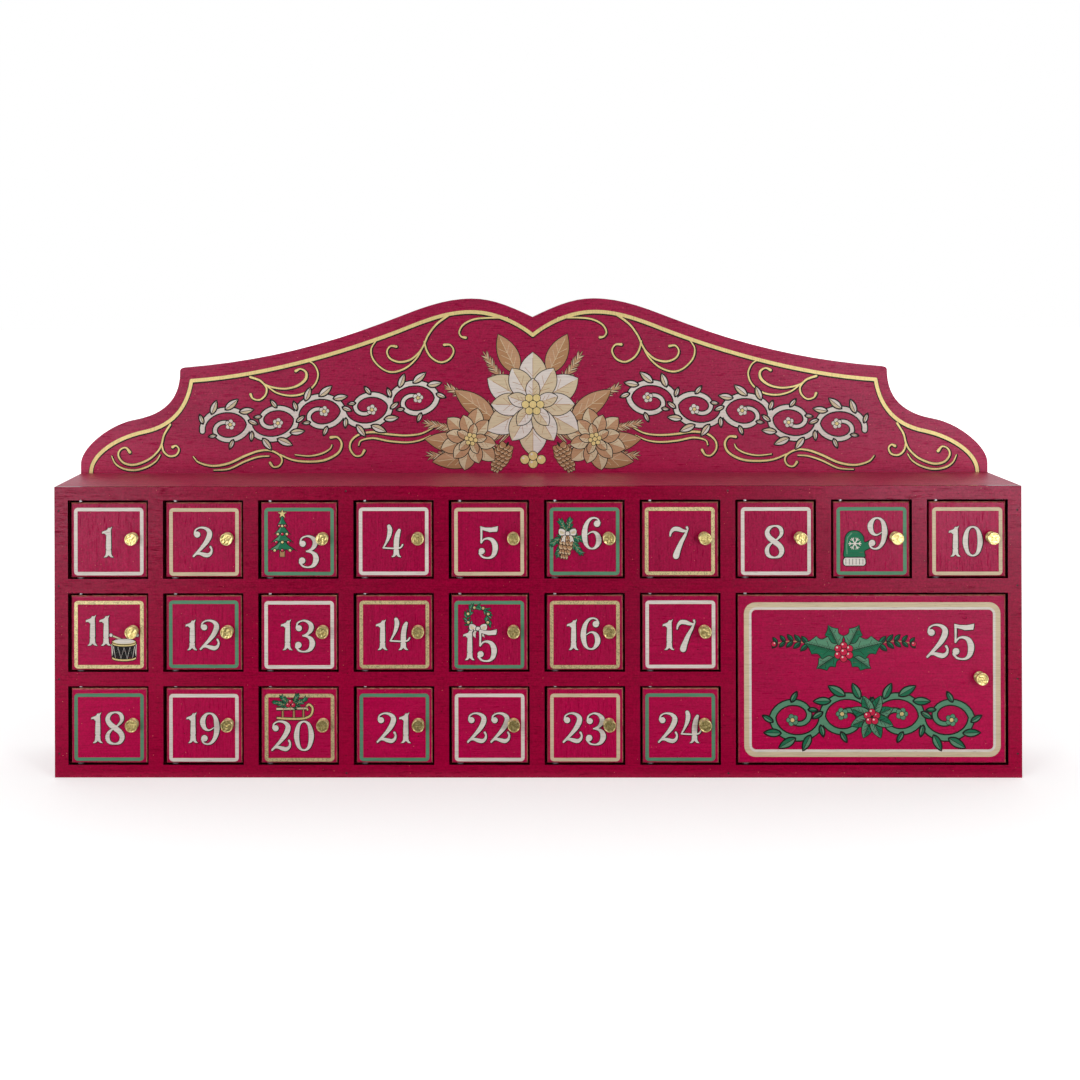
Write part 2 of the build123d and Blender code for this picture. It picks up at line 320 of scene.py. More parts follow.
def burnt_walls(graph):
    """1 on the cut walls of the face board's mouths, 0 on its front and on its outer edges; there the
    wood is painted near black, as burnt edges and painted shade.
    """
    low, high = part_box("face_frame")
    within = graph.math("LESS_THAN", graph.math("ABSOLUTE", graph.place("X")), high[0] - EDGE_MARGIN)
    above = graph.math("GREATER_THAN", graph.place("Z"), low[2] + EDGE_MARGIN)
    below = graph.math("LESS_THAN", graph.place("Z"), high[2] - EDGE_MARGIN)
    wall = graph.math("LESS_THAN", graph.math("ABSOLUTE", graph.normal_part("Y")), 0.5)
    return graph.times(graph.times(within, wall), graph.times(above, below))


def print_ink(name, colour):
    """Ink printed on grained wood: fine bands, pores that show through, a soft gloss."""
    graph = Graph.material(name)
    bands = graph.noise(1.0, 2.0, 0.5, grain_stretch("x", 120.0, 2600.0))
    pores = graph.noise(1.0, 2.0, 0.5, grain_stretch("x", 200.0, 3600.0))
    base = linear(colour)
    mixed = graph.mix(graph.ramp(bands, 0.4, 0.7, 0.0, 0.6), base, shaded(base, BAND_SHADE))
    mixed = graph.mix(graph.ramp(pores, 0.66, 0.74, 0.0, 0.55), mixed, linear(CREST_RED))
    normal = graph.bump(bands, 0.2, 0.00008)
    return graph.finish(Base_Color=mixed, Roughness=0.5, Specular_IOR_Level=0.2, Normal=normal)


def metal_ink(name, colour, flake_scale, flake_bump, metallic):
    """Metallic ink or glitter: flakes that tilt the surface and vary the shade."""
    graph = Graph.material(name)
    tone, _ = graph.cells(flake_scale)
    lines = graph.noise(1.0, 2.0, 0.5, grain_stretch("z", 150.0, 2400.0))
    base = linear(colour)
    shade = shaded(base, FLAKE_SHADE)
    mixed = graph.mix(graph.ramp(tone, 0.45, 1.0, 0.0, flake_bump), base, shade)
    mixed = graph.mix(graph.ramp(lines, 0.5, 0.7, 0.0, 0.45), mixed, shade)
    normal = graph.bump(tone, flake_bump, 0.0002)
    return graph.finish(Base_Color=mixed, Metallic=metallic, Roughness=0.42, Normal=normal)


def brass(name, bright, dull):
    """Brass that goes from bright to dull in small patches."""
    graph = Graph.material(name)
    wear = graph.noise(BRASS_WEAR, 3.0)
    mixed = graph.mix(graph.ramp(wear, 0.38, 0.68), linear(bright), linear(dull))
    normal = graph.bump(wear, 0.12, 0.0002)
    return graph.finish(Base_Color=mixed, Metallic=0.85, Roughness=0.3, Normal=normal)


def bright_steel(name, bright, dull):
    """Bright pins, and washers in the gap under each row of doors painted darker, as painted shade."""
    graph = Graph.material(name)
    scratches = graph.noise(1.0, 2.0, 0.5, grain_stretch("x", 3000.0, 400.0))
    mixed = graph.mix(scratches, linear(bright), linear(dull))
    door_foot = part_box("door_18")[0][2]
    row_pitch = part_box("door_11")[0][2] - door_foot
    height = graph.math("SUBTRACT", graph.place("Z"), door_foot - WASHER_ROOM)
    within_row = graph.math("FRACT", graph.math("DIVIDE", height, row_pitch))
    washer_shade = graph.math("LESS_THAN", within_row, WASHER_ROOM / row_pitch)
    # Painted shade: the washers, low in each row's gap, take a darker grey.
    mixed = graph.mix(washer_shade, mixed, linear(WASHER_PAINTED_SHADE))
    normal = graph.bump(scratches, 0.1, 0.0001)
    return graph.finish(Base_Color=mixed, Metallic=0.2, Roughness=0.35, Normal=normal)


def nail_heads(name, filler, metal):
    """Sunk nail heads, patchy with filler."""
    graph = Graph.material(name)
    patches = graph.ramp(graph.noise(900.0), 0.4, 0.6)
    mixed = graph.mix(patches, linear(filler), linear(metal))
    return graph.finish(Base_Color=mixed, Metallic=0.3, Roughness=0.55)


def dark_block(name, light, dark):
    """Rough dark wood of the stop blocks."""
    graph = Graph.material(name)
    fibres = graph.noise(1.0, 3.0, 0.6, grain_stretch("x", 200.0, 1800.0))
    mixed = graph.mix(fibres, linear(light), linear(dark))
    return graph.finish(Base_Color=mixed, Roughness=0.7, Normal=graph.bump(fibres, 0.3, 0.0002))


def dress_frame():
    """Give each CAD node its material; the knobs are replaced."""
    # The crest's front is painted lighter at its foot, a painted light where it gets less light next to
    # the top board.
    crest_finish_and_painted_light = {"roughness": 0.36, "gloss": 0.32, "pore_tone": 0.3, "foot": (0.145, 0.175, 1.3)}
    # The top board's upward faces take a lighter red: a painted sheen.
    top_finish_and_painted_sheen = {"roughness": 0.42, "gloss": 0.85, "specks": 0.9, "pore_tone": 0.9, "upper": PAINTED_SHEEN_RED}
    door_finish_and_painted_light = {"roughness": 0.26, "gloss": 0.25, "specks": 0.25, "pore_tone": 0.32, "wear_and_painted_light": True}
    cabinet = painted_wood("cabinet_stain", CABINET_RED)
    upright = painted_wood("upright_stain", CABINET_RED, "z", pore_tone=0.4)
    door_along = painted_wood("door_stain_along", DOOR_RED, **door_finish_and_painted_light)
    door_upright = painted_wood("door_stain_upright", DOOR_RED, "z", **door_finish_and_painted_light)
    materials = {
        "face_frame": painted_wood("face_stain_painted_shade", CABINET_RED, burnt_and_shaded=True),
        "top_board": painted_wood("top_stain_painted_sheen", CABINET_RED, **top_finish_and_painted_sheen),
        "bottom_board": cabinet,
        "shelves": cabinet,
        "side_boards": upright,
        "dividers": upright,
        "back_board": painted_wood("crest_stain", CREST_RED, **crest_finish_and_painted_light),
        "hinge_hardware": bright_steel("pin_steel", *STEEL),
        "brads": nail_heads("brad_heads", *BRAD_FILLER),
        "door_stops": dark_block("stop_wood", *STOP_WOOD),
    }
    for number in DOORS:
        upright_grain = number in VERTICAL_GRAIN_DOORS
        materials[f"door_{number:02}"] = door_upright if upright_grain else door_along
    for node, material in materials.items():
        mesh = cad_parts[node].data
        mesh.materials.clear()
        mesh.materials.append(material)


def make_inks():
    """One material for each ink."""
    inks = {}
    for name, colour in INK_COLOURS.items():
        if name in METAL_INKS:
            inks[name] = metal_ink(f"ink_{name}", colour, *METAL_INKS[name])
        else:
            inks[name] = print_ink(f"ink_{name}", colour)
    return inks


# Knobs: turned spools with hammered heads, in place of the plain ones; sizes in millimetres

KNOB_RADIUS = 3.1
KNOB_REACH = 5.0
KNOB_RIM = 0.27
KNOB_DISH = 0.14
KNOB_HEAD = 1.3
KNOB_WAIST = 1.5
KNOB_FOOT_RADIUS = 2.9
KNOB_FOOT = 0.8
KNOB_EASE = 0.1
KNOB_FOOT_EASE = 0.12
KNOB_SEGMENTS = 40
KNOB_FACE_RINGS = 12
KNOB_DENTS = 34
DENT_RADIUS = 0.62
DENT_DEPTH = 0.095
CRISP_ANGLE = math.radians(32)


def knob_profile():
    """Radius and depth of each ring, in millimetres, from the middle of the face back to the door."""
    flat = KNOB_RADIUS - 2 * KNOB_RIM
    rings = []
    for step in range(1, KNOB_FACE_RINGS + 1):
        rings.append((flat * step / KNOB_FACE_RINGS, -KNOB_REACH + KNOB_DISH))
    for degrees in range(140, -1, -20):
        angle = math.radians(degrees)
        across = KNOB_RADIUS - KNOB_RIM + KNOB_RIM * math.cos(angle)
        rings.append((across, -KNOB_REACH + KNOB_RIM * (1 - math.sin(angle))))
    head_back = -KNOB_REACH + KNOB_HEAD
    rings += [(KNOB_RADIUS, head_back - KNOB_EASE), (KNOB_RADIUS - KNOB_EASE, head_back)]
    for step in range(1, 10):
        part = step / 10
        mean = KNOB_RADIUS + (KNOB_FOOT_RADIUS - KNOB_RADIUS) * part
        pinch = math.sin(math.pi * part)
        rings.append((mean - (mean - KNOB_WAIST) * pinch, head_back + (-KNOB_FOOT - head_back) * part))
    rings.append((KNOB_FOOT_RADIUS - KNOB_EASE, -KNOB_FOOT))
    rings += [(KNOB_FOOT_RADIUS, -KNOB_FOOT + KNOB_FOOT_EASE), (KNOB_FOOT_RADIUS, 0.0)]
    return rings


def knob_mesh(name, x, surface, z, seed):
    """A knob about x, z that stands out from a door's surface towards -Y."""
    chance = random.Random(seed)
    dents = []
    for _ in range(KNOB_DENTS):
        reach = (KNOB_RADIUS - KNOB_RIM) * math.sqrt(chance.random())
        angle = chance.uniform(0, math.tau)
        dents.append((reach * math.cos(angle), reach * math.sin(angle), chance.uniform(0.7, 1.1)))

    def dented(px, pz):
        depths = [0.0]
        for dx, dz, size in dents:
            depths.append(1 - ((px - dx) ** 2 + (pz - dz) ** 2) / (size * DENT_RADIUS) ** 2)
        return DENT_DEPTH * max(depths)

    rings = knob_profile()
    corners = [(0.0, -KNOB_REACH + KNOB_DISH + dented(0, 0), 0.0)]
    for index, (radius, depth) in enumerate(rings):
        for segment in range(KNOB_SEGMENTS):
            angle = math.tau * segment / KNOB_SEGMENTS
            px, pz = radius * math.cos(angle), radius * math.sin(angle)
            sunk = dented(px, pz) if index < KNOB_FACE_RINGS else 0.0
            corners.append((px, depth + sunk, pz))
    corners.append((0.0, 0.0, 0.0))
    faces = [(0, 1 + segment, 1 + (segment + 1) % KNOB_SEGMENTS) for segment in range(KNOB_SEGMENTS)]
    for ring in range(len(rings) - 1):
        for segment in range(KNOB_SEGMENTS):
            a = 1 + ring * KNOB_SEGMENTS + segment
            b = 1 + ring * KNOB_SEGMENTS + (segment + 1) % KNOB_SEGMENTS
            faces.append((a, a + KNOB_SEGMENTS, b + KNOB_SEGMENTS, b))
    last = 1 + (len(rings) - 1) * KNOB_SEGMENTS
    for segment in range(KNOB_SEGMENTS):
        faces.append((last + (segment + 1) % KNOB_SEGMENTS, last + segment, len(corners) - 1))
    mesh = bpy.data.meshes.new(name)
    places = [(x + px * MM, surface + py * MM, z + pz * MM) for px, py, pz in corners]
    mesh.from_pydata(places, [], faces)
    mesh.polygons.foreach_set("use_smooth", [True] * len(faces))
    # The face takes the second, darker brass and the rest the lighter: a painted reflection.
    hollow = KNOB_FACE_RINGS * KNOB_SEGMENTS
    mesh.polygons.foreach_set("material_index", [1] * hollow + [0] * (len(faces) - hollow))
    mesh.set_sharp_from_angle(angle=CRISP_ANGLE)
    return mesh


def make_knobs():
    # Painted reflection: a lighter brass for the rim and body, a darker one for the face.
    materials = (brass("rim_brass_lit", *RIM_BRASS_LIT), brass("face_brass_shaded", *FACE_BRASS_SHADED))
    for number in DOORS:
        node = f"knob_{number:02}"
        x, z = middle(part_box(node))
        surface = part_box(f"door_{number:02}")[0][1]
        mesh = knob_mesh(f"hammered_{node}", x, surface, z, number)
        for material in materials:
            mesh.materials.append(material)
        piece = put(f"hammered_{node}", mesh)
        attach(piece, f"day_{number:02}")
        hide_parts(node)


# Flat art: shapes in millimetres on a plane facing the viewer, painted one over the other

def cubic(start, out, into, end, steps=14):
    """Points along a cubic curve, without its start."""
    points = []
    for step in range(1, steps + 1):
        t = step / steps
        s = 1 - t
        weights = (s**3, 3 * s * s * t, 3 * s * t * t, t**3)
        corners = (start, out, into, end)
        points.append(tuple(sum(w * c[axis] for w, c in zip(weights, corners)) for axis in (0, 1)))
    return points


def smooth(points, closed=False, steps=8):
    """A Catmull-Rom curve through points of any number of values each."""
    count = len(points)
    result = []
    for index in range(count if closed else count - 1):
        if closed:
            quad = [points[(index + shift) % count] for shift in (-1, 0, 1, 2)]
        else:
            quad = [points[min(max(index + shift, 0), count - 1)] for shift in (-1, 0, 1, 2)]
        for step in range(steps):
            t = step / steps
            result.append(tuple(
                0.5 * (2 * b + (c - a) * t
                       + (2 * a - 5 * b + 4 * c - d) * t * t
                       + (3 * b - a - 3 * c + d) * t**3)
                for a, b, c, d in zip(*quad)
            ))
    if not closed:
        result.append(tuple(points[-1]))
    return result


def ellipse(x, z, wide, high, steps):
    """Points round an ellipse with these half axes."""
    turns = [math.tau * step / steps for step in range(steps)]
    return [(x + wide * math.cos(turn), z + high * math.sin(turn)) for turn in turns]


def circle(x, z, radius, steps=20):
    return ellipse(x, z, radius, radius, steps)


def polar(reach, degrees):
    """Point at a distance and an angle from the origin."""
    angle = math.radians(degrees)
    return reach * math.cos(angle), reach * math.sin(angle)


def area(loop):
    return sum(a[0] * b[1] - b[0] * a[1] for a, b in zip(loop, loop[1:] + loop[:1])) / 2


class Art:
    """Shapes in painting order; each has an ink, or None to leave the wood bare."""

    PRINT_DEPTH = 0.05 * MM
    SMALLEST_AREA = 1e-5
    MERGE_DISTANCE = 1e-4
    OUTLINE = 0.4

    def __init__(self, shapes=None, matrix=None):
        self.shapes = [] if shapes is None else shapes
        self.matrix = matrix or Matrix.Identity(3)
        self.scale = math.sqrt(abs(self.matrix.determinant()))

    def at(self, x, z, angle=0.0, scale=1.0, flip=False):
        """The same art from a place, at an angle in degrees and a scale; flip mirrors it in X."""
        cosine = math.cos(math.radians(angle)) * scale
        sine = math.sin(math.radians(angle)) * scale
        side = -1 if flip else 1
        step = Matrix(((cosine * side, -sine, x), (sine * side, cosine, z), (0, 0, 1)))
        return Art(self.shapes, self.matrix @ step)

    def halves(self):
        """The art as it is, and its mirror image."""
        return self, self.at(0, 0, flip=True)

    def around(self, count, start=0):
        """The art at equal turns about its origin, the first at an angle of start degrees."""
        return [self.at(0, 0, start + 360 * index / count) for index in range(count)]

    def placed(self, points):
        moved = [self.matrix @ Vector((point[0], point[1], 1)) for point in points]
        return [(point.x, point.y) for point in moved]

    def add(self, ink, *loops):
        """Add a shape inside one loop, or a band between two loops that run opposite ways."""
        if any(abs(area(loop)) > self.SMALLEST_AREA for loop in loops):
            self.shapes.append((ink, loops))

    def fill(self, ink, loop):
        self.add(ink, self.placed(loop))

    def dot(self, ink, x, z, radius, steps=14):
        self.fill(ink, circle(x, z, radius, steps))

    def ribbon(self, ink, points, grow=0.0, shift=(0.0, 0.0), closed=False):
        """A stroke along points of x, z and width, with round ends unless it is closed."""
        count = len(points)
        reaches = [(point[2] / 2 + grow) * self.scale for point in points]
        places = self.placed([(point[0] + shift[0], point[1] + shift[1]) for point in points])
        left = []
        right = []
        for index, ((x, z), reach) in enumerate(zip(places, reaches)):
            before = places[index - 1] if index or closed else places[0]
            after = places[(index + 1) % count] if index < count - 1 or closed else places[-1]
            along = Vector((after[0] - before[0], after[1] - before[1])).normalized()
            left.append((x - along.y * reach, z + along.x * reach))
            right.append((x + along.y * reach, z - along.x * reach))
        if closed:
            self.add(ink, left, right[::-1])
        else:
            tip = self.cap(places[-1], left[-1])
            tail = self.cap(places[0], right[0])
            self.add(ink, left + tip + right[::-1] + tail)

    @staticmethod
    def cap(centre, start, steps=6):
        """Points of a half circle, clockwise about a centre from a start; both ends are left out."""
        x, z = start[0] - centre[0], start[1] - centre[1]
        points = []
        for step in range(1, steps):
            turn = -math.pi * step / steps
            cosine, sine = math.cos(turn), math.sin(turn)
            points.append((centre[0] + x * cosine - z * sine, centre[1] + x * sine + z * cosine))
        return points

    def line(self, ink, points, width, closed=False):
        """A stroke of one width through points of x and z."""
        self.ribbon(ink, [(p[0], p[1], width) for p in points], closed=closed)

    def outlined(self, ink, loop, outline="black", width=OUTLINE):
        """A filled loop with a thin line round it."""
        self.fill(ink, loop)
        self.line(outline, loop, width, closed=True)

    def mesh(self, name, surface, inks):
        """A thin closed print on the plane y = surface, its ink towards -Y."""
        corners = []
        edges = []
        for _, loops in self.shapes:
            for loop in loops:
                first = len(corners)
                corners += [Vector(point) for point in loop]
                ends = list(range(first, len(corners)))
                edges += zip(ends, ends[1:] + ends[:1])
        cut = delaunay_2d_cdt(corners, edges, [], 0, self.MERGE_DISTANCE)
        coords, triangles = cut[0], cut[2]
        centres = np.array([[coords[c][:] for c in triangle] for triangle in triangles]).mean(axis=1)
        kept = []
        for triangle, top in zip(triangles, self.topmost(centres)):
            if top >= 0 and self.shapes[top][0]:
                kept.append((triangle, self.shapes[top][0]))
        return self.solid(name, coords, kept, surface, inks)

    def topmost(self, centres):
        """Index of the last painted shape over each point, or -1, by winding number."""
        order = np.argsort(centres[:, 0])
        sorted_x = centres[order, 0]
        tops = np.full(len(centres), -1)
        for index, (_, loops) in enumerate(self.shapes):
            start = np.concatenate([np.array(loop) for loop in loops])
            end = np.concatenate([np.roll(np.array(loop), -1, axis=0) for loop in loops])
            low, high = start.min(axis=0), start.max(axis=0)
            near = order[np.searchsorted(sorted_x, low[0]):np.searchsorted(sorted_x, high[0])]
            near = near[(centres[near, 1] > low[1]) & (centres[near, 1] < high[1])]
            x, z = centres[near, 0][:, None], centres[near, 1][:, None]
            run, rise = end[:, 0] - start[:, 0], end[:, 1] - start[:, 1]
            turn = run * (z - start[:, 1]) - (x - start[:, 0]) * rise
            upward = (start[:, 1] <= z) & (end[:, 1] > z) & (turn > 0)
            downward = (start[:, 1] > z) & (end[:, 1] <= z) & (turn < 0)
            inside = upward.sum(axis=1) != downward.sum(axis=1)
            tops[near[inside]] = index
        return tops

    def solid(self, name, coords, kept, surface, inks):
        """Front, back and rim of the kept triangles."""
        used = sorted({corner for triangle, _ in kept for corner in triangle})
        place = {corner: index for index, corner in enumerate(used)}
        count = len(used)
        front = [(coords[c].x * MM, surface - self.PRINT_DEPTH, coords[c].y * MM) for c in used]
        back = [(coords[c].x * MM, surface, coords[c].y * MM) for c in used]
        names = sorted({ink for _, ink in kept})
        faces = []
        slots = []
        owner = {}
        for triangle, ink in kept:
            a, b, c = (place[corner] for corner in triangle)
            slot = names.index(ink)
            faces += [(a, b, c), (c + count, b + count, a + count)]
            slots += [slot, slot]
            for edge in ((a, b), (b, c), (c, a)):
                owner[edge] = slot
        for (a, b), slot in owner.items():
            if (b, a) not in owner:
                faces.append((a, a + count, b + count, b))
                slots.append(slot)
        mesh = bpy.data.meshes.new(name)
        mesh.from_pydata(front + back, [], faces)
        for ink in names:
            mesh.materials.append(inks[ink])
        mesh.polygons.foreach_set("material_index", slots)
        return put(name, mesh)


def mirrored(points):
    return [(-point[0], *point[1:]) for point in points]


# Numerals, drawn as strokes of x, z and width; 100 units are the height of a plain figure

FOOT = [(-8.5, 24), (-8.8, 12), (-10.5, 6), (-16.5, -1), (-7, 0), (0, 6.5), (7, 0), (16.5, -1),
        (10.5, 6), (8.8, 12), (8.5, 24)]
FIGURES = {
    "0": {"width": 68, "rings": [[(34, 97.5, 5), (51, 86, 11), (58.5, 50, 17), (51, 14, 11),
                                  (34, 2.5, 5), (17, 14, 11), (9.5, 50, 17), (17, 86, 11)]]},
    "1": {"width": 38, "strokes": [[(24, 92, 11), (22.5, 70, 15), (22, 30, 17)]], "feet": [22],
          "fills": [[(34, 101), (22, 93.5), (12, 88), (1, 84), (0, 78), (8, 79), (14.5, 73),
                     (30, 73), (29.5, 90)]]},
    "2": {"width": 70, "balls": [(17, 75, 20)], "strokes": [
        [(8.5, 76, 6), (12, 90, 5), (27, 97.5, 5), (45, 95, 9), (57, 84, 15), (57, 70, 17),
         (48, 51, 15), (33, 32, 11), (18, 16, 8), (5, 3, 6)],
        [(5, 2, 5), (13, 10, 6), (25, 12, 9), (39, 8, 13), (52, 6, 13), (62, 13, 9), (65, 25, 6),
         (61, 34, 7)],
    ]},
    "3": {"width": 68, "balls": [(15, 72, 20), (13, 16, 21)], "strokes": [
        [(7, 73, 6), (11, 89, 5), (27, 97, 5), (43, 94, 9), (55, 82, 15), (55, 68, 15),
         (45, 54, 9), (30, 46.5, 5)],
        [(28, 47, 5), (44, 44, 8), (56, 34, 15), (59, 18, 18), (51, 1, 12), (34, -6, 5),
         (16, -2.5, 6), (5.5, 10, 7)],
    ]},
    "4": {"width": 69, "feet": [46], "strokes": [
        [(22, 101, 12), (25, 90, 15), (22.5, 72, 13), (15, 52, 8), (4, 32, 4)],
        [(3, 30, 5), (20, 29, 5), (44, 28, 5), (60, 31, 5), (67, 40, 5)],
        [(56, 88, 10), (51, 76, 15), (47, 55, 17), (46, 30, 17)],
    ]},
    "5": {"width": 68, "balls": [(13, 19, 20)],
          "fills": [[(8, 101), (24, 97), (45, 96.5), (67, 101), (66, 91), (64, 83.5), (40, 82),
                     (15, 89), (9, 92)]],
          "strokes": [
              [(12, 97, 7), (12, 72, 6), (11.5, 47, 6)],
              [(12, 48, 5), (22, 58.5, 5), (36, 60.5, 8), (50, 53, 14), (57.5, 35, 18),
               (55, 13, 15), (46, 0, 9), (32, -4, 5), (16, -0.5, 6), (6, 11, 7)],
          ]},
    "6": {"width": 66, "balls": [(51, 85, 21)], "strokes": [
        [(59.5, 88, 6), (54, 100, 5), (41, 104.5, 5), (26, 98, 9), (14, 78, 14), (9.5, 50, 18),
         (13, 22, 14), (22, 7, 8), (34, 2.5, 5), (46, 7, 9), (55.5, 22, 16), (56.5, 36, 17),
         (51, 50, 13), (41, 57.5, 7), (31, 57, 4), (20, 50, 3)],
    ]},
    "7": {"width": 64, "balls": [(59, 96, 8)], "strokes": [
        [(3, 69, 5), (6, 81, 8), (16, 91, 13), (30, 91, 14), (44, 86, 11), (57, 85, 6),
         (61.5, 92, 5)],
        [(60, 88, 5), (52, 70, 9), (40, 48, 13), (29, 22, 17), (23.5, 6, 20), (22.5, 2, 20)],
    ]},
    "8": {"width": 68, "rings": [[(34, 101, 5), (17, 94, 11), (10, 78, 15), (18, 62, 17),
                                  (36, 48, 17), (52, 34, 17), (58, 18, 16), (51, 2, 11),
                                  (34, -3.5, 5), (16, 2, 11), (9, 18, 14), (14, 34, 10),
                                  (28, 47, 5), (44, 58, 6), (56, 72, 10), (57, 86, 13),
                                  (50, 97, 10)]]},
}


def half_turned(figure):
    """A figure turned by half a turn about its middle."""
    wide = figure["width"]

    def turned(points):
        return [(wide - p[0], 100 - p[1], *p[2:]) for p in points]

    strokes = [turned(stroke) for stroke in figure["strokes"]]
    return {"width": wide, "balls": turned(figure["balls"]), "strokes": strokes}


FIGURES["9"] = half_turned(FIGURES["6"])
FIGURE_GAP = 7.0
FIGURE_OUTLINE = 1.8
FIGURE_SHADOW = (1.4, -1.0)
FIGURE_COATS = (
    ("black", FIGURE_OUTLINE, FIGURE_SHADOW),
    ("black", FIGURE_OUTLINE, (0, 0)),
    ("cream", 0, (0, 0)),
)


def draw_number(art, number, x, z, height):
    """A number centred on x, z; height is that of a plain figure, in millimetres."""
    scale = height / 100
    digits = str(number)
    wide = sum(FIGURES[digit]["width"] for digit in digits) + FIGURE_GAP * (len(digits) - 1)
    for ink, grow, shift in FIGURE_COATS:
        left = x - wide * scale / 2
        for digit in digits:
            figure = FIGURES[digit]
            origin = (left + shift[0] * scale, z - height / 2 + shift[1] * scale)
            draw_figure(art, figure, ink, origin, scale, grow * scale)
            left += (figure["width"] + FIGURE_GAP) * scale


def draw_figure(art, figure, ink, origin, scale, grow):
    """One figure in one ink, its strokes thicker by grow on each side."""
    def placed(points):
        moved = []
        for x, z, *width in points:
            wide = [value * scale for value in width]
            moved.append((origin[0] + x * scale, origin[1] + z * scale, *wide))
        return moved

    for stroke in figure.get("strokes", []):
        art.ribbon(ink, smooth(placed(stroke)), grow)
    for ring in figure.get("rings", []):
        art.ribbon(ink, smooth(placed(ring), closed=True), grow, closed=True)
    for x, z, wide in placed(figure.get("balls", [])):
        art.fill(ink, circle(x, z, wide / 2 + grow))
    loops = [placed(loop) for loop in figure.get("fills", [])]
    loops += [placed([(x + foot, z) for x, z in FOOT]) for foot in figure.get("feet", [])]
    for loop in loops:
        art.fill(ink, loop)
        if grow:
            art.line(ink, loop, 2 * grow, closed=True)


# Borders of the doors

def rounded(left, right, bottom, top, radius, steps=6):
    """A rectangle with round corners."""
    loop = []
    centres = ((right - radius, top - radius), (left + radius, top - radius),
               (left + radius, bottom + radius), (right - radius, bottom + radius))
    for quarter, (x, z) in enumerate(centres):
        for step in range(steps + 1):
            angle = math.tau / 4 * (quarter + step / steps)
            loop.append((x + radius * math.cos(angle), z + radius * math.sin(angle)))
    return loop


BORDER_INKS = {
    "cream": (1, 4, 8, 13, 17, 19, 22),
    "tan": (2, 5, 10, 23),
    "glitter": (7, 11, 14, 16, 20),
    "sage": (3, 6, 9, 12, 15, 18, 21, 24),
}
BORDER_WIDTH = 1.75
BORDER_ROUND = 1.9
BORDER_INNER_ROUND = 0.25
BORDER_SIZE = (34.9, 33.9)
BORDER_OFFSET = (-0.1, -0.95)
BORDER_PLAY = 0.18
BIG_BORDER_SIZE = (127.8, 77.2)
BIG_BORDER_OFFSET = (0.2, -0.3)
BIG_BORDER_BANDS = (("tan", 0.0, 5.6), ("cream", 2.45, 3.6), (None, 3.7, 2.2))


def draw_bands(art, x, z, size, bands):
    """Rectangles about x, z, one on the other; each has an ink, an inset and a corner radius."""
    for ink, inset, radius in bands:
        half_wide = size[0] / 2 - inset
        half_high = size[1] / 2 - inset
        art.fill(ink, rounded(x - half_wide, x + half_wide, z - half_high, z + half_high, radius))


# Ornament: leaves, flowers, boughs and small pictures, drawn from their own origins in millimetres

VEIN = 0.22
HATCH = 0.17
SHADOW_LINE = 0.7


def hatch(art, length, reach, count):
    """Short engraved strokes that lean out from a leaf's midrib on both sides."""
    for index in range(count):
        x = length * (0.08 + 0.8 * index / count)
        for side in (reach, -reach):
            art.line("black", [(x, 0), (x + 0.8 * reach, side)], HATCH)


def draw_leaf(art, length, width, ink, shade, vein="black", belly=(0.72, 0.5), veins=3, outline=0.42):
    """A pointed leaf along X from its foot, one half shaded, with a midrib and side veins."""
    foot, tip = (0.0, 0.0), (length, 0.0)
    upper, lower = (
        [foot] + cubic(foot, (0.28 * length, belly[0] * side), (0.72 * length, belly[1] * side), tip)
        for side in (width, -width)
    )
    loop = upper + lower[-2:0:-1]
    art.fill(ink, loop)
    art.fill(shade, lower)
    for index in range(veins):
        x = length * (0.2 + 0.5 * index / veins)
        for side in (width, -width):
            art.line(vein, [(x, 0), (x + 0.17 * length, 0.27 * side)], VEIN)
    art.line(vein, [foot, (0.88 * length, 0)], VEIN * 1.3)
    art.line("black", loop, outline, closed=True)


# Count, reach and first angle of each ring of petals.
PETAL_RINGS = ((6, 1.0, 30), (6, 0.8, 0), (5, 0.5, 18))


def draw_flower(art, radius, ink, shade, vein):
    """A star flower: three rings of petals round a cluster of gold buds."""
    for count, reach, start in PETAL_RINGS:
        for petal in art.around(count, start):
            draw_leaf(petal, radius * reach, radius * reach * 0.56, ink, shade, vein, belly=(0.5, 0.78))
    bud = 0.075 * radius
    for pen in art.around(6):
        pen.outlined("gold", circle(1.9 * bud, 0, bud, 12), width=0.3)
    art.outlined("gold", circle(0, 0, bud, 12), width=0.3)


def draw_cone(art, length, width):
    """A pine cone hanging down from its stem at the origin, its scales in overlapping rows."""
    rows = max(5, round(length / 2.2))
    for row in reversed(range(rows)):
        down = (row + 0.5) / rows
        half = width / 2 * math.sin(math.pi * (0.2 + 0.74 * down)) ** 0.8
        count = 3 + row % 2
        wide = 2.5 * half / count
        high = 1.7 * length / rows
        for index in range(count):
            across = (2 * index + 1) / count - 1
            scale = art.at(across * half * 0.82, -length * down, across * 24)
            loop = smooth([(-wide / 2, high / 2), (wide / 2, high / 2), (0.45 * wide, -0.15 * high),
                           (0, -high / 2), (-0.45 * wide, -0.15 * high)], closed=True, steps=3)
            scale.outlined("brown", loop, width=0.3)
            rib = [(-0.25 * wide, -0.18 * high), (0, -0.3 * high), (0.25 * wide, -0.18 * high)]
            scale.line("tan", rib, 0.4)
    art.line("black", [(0, 0), (0, 0.12 * length)], 1.0)


NEEDLE_WIDTH = 0.55
NEEDLE_EDGE_WIDTH = 1.05
NEEDLE_EDGE_REACH = 0.4


def needle_loop(length, width):
    """A needle along X from its foot, pointed at the tip."""
    half = width / 2
    return [(0, -half), (0.6 * length, -half), (length, 0), (0.6 * length, half), (0, half)]


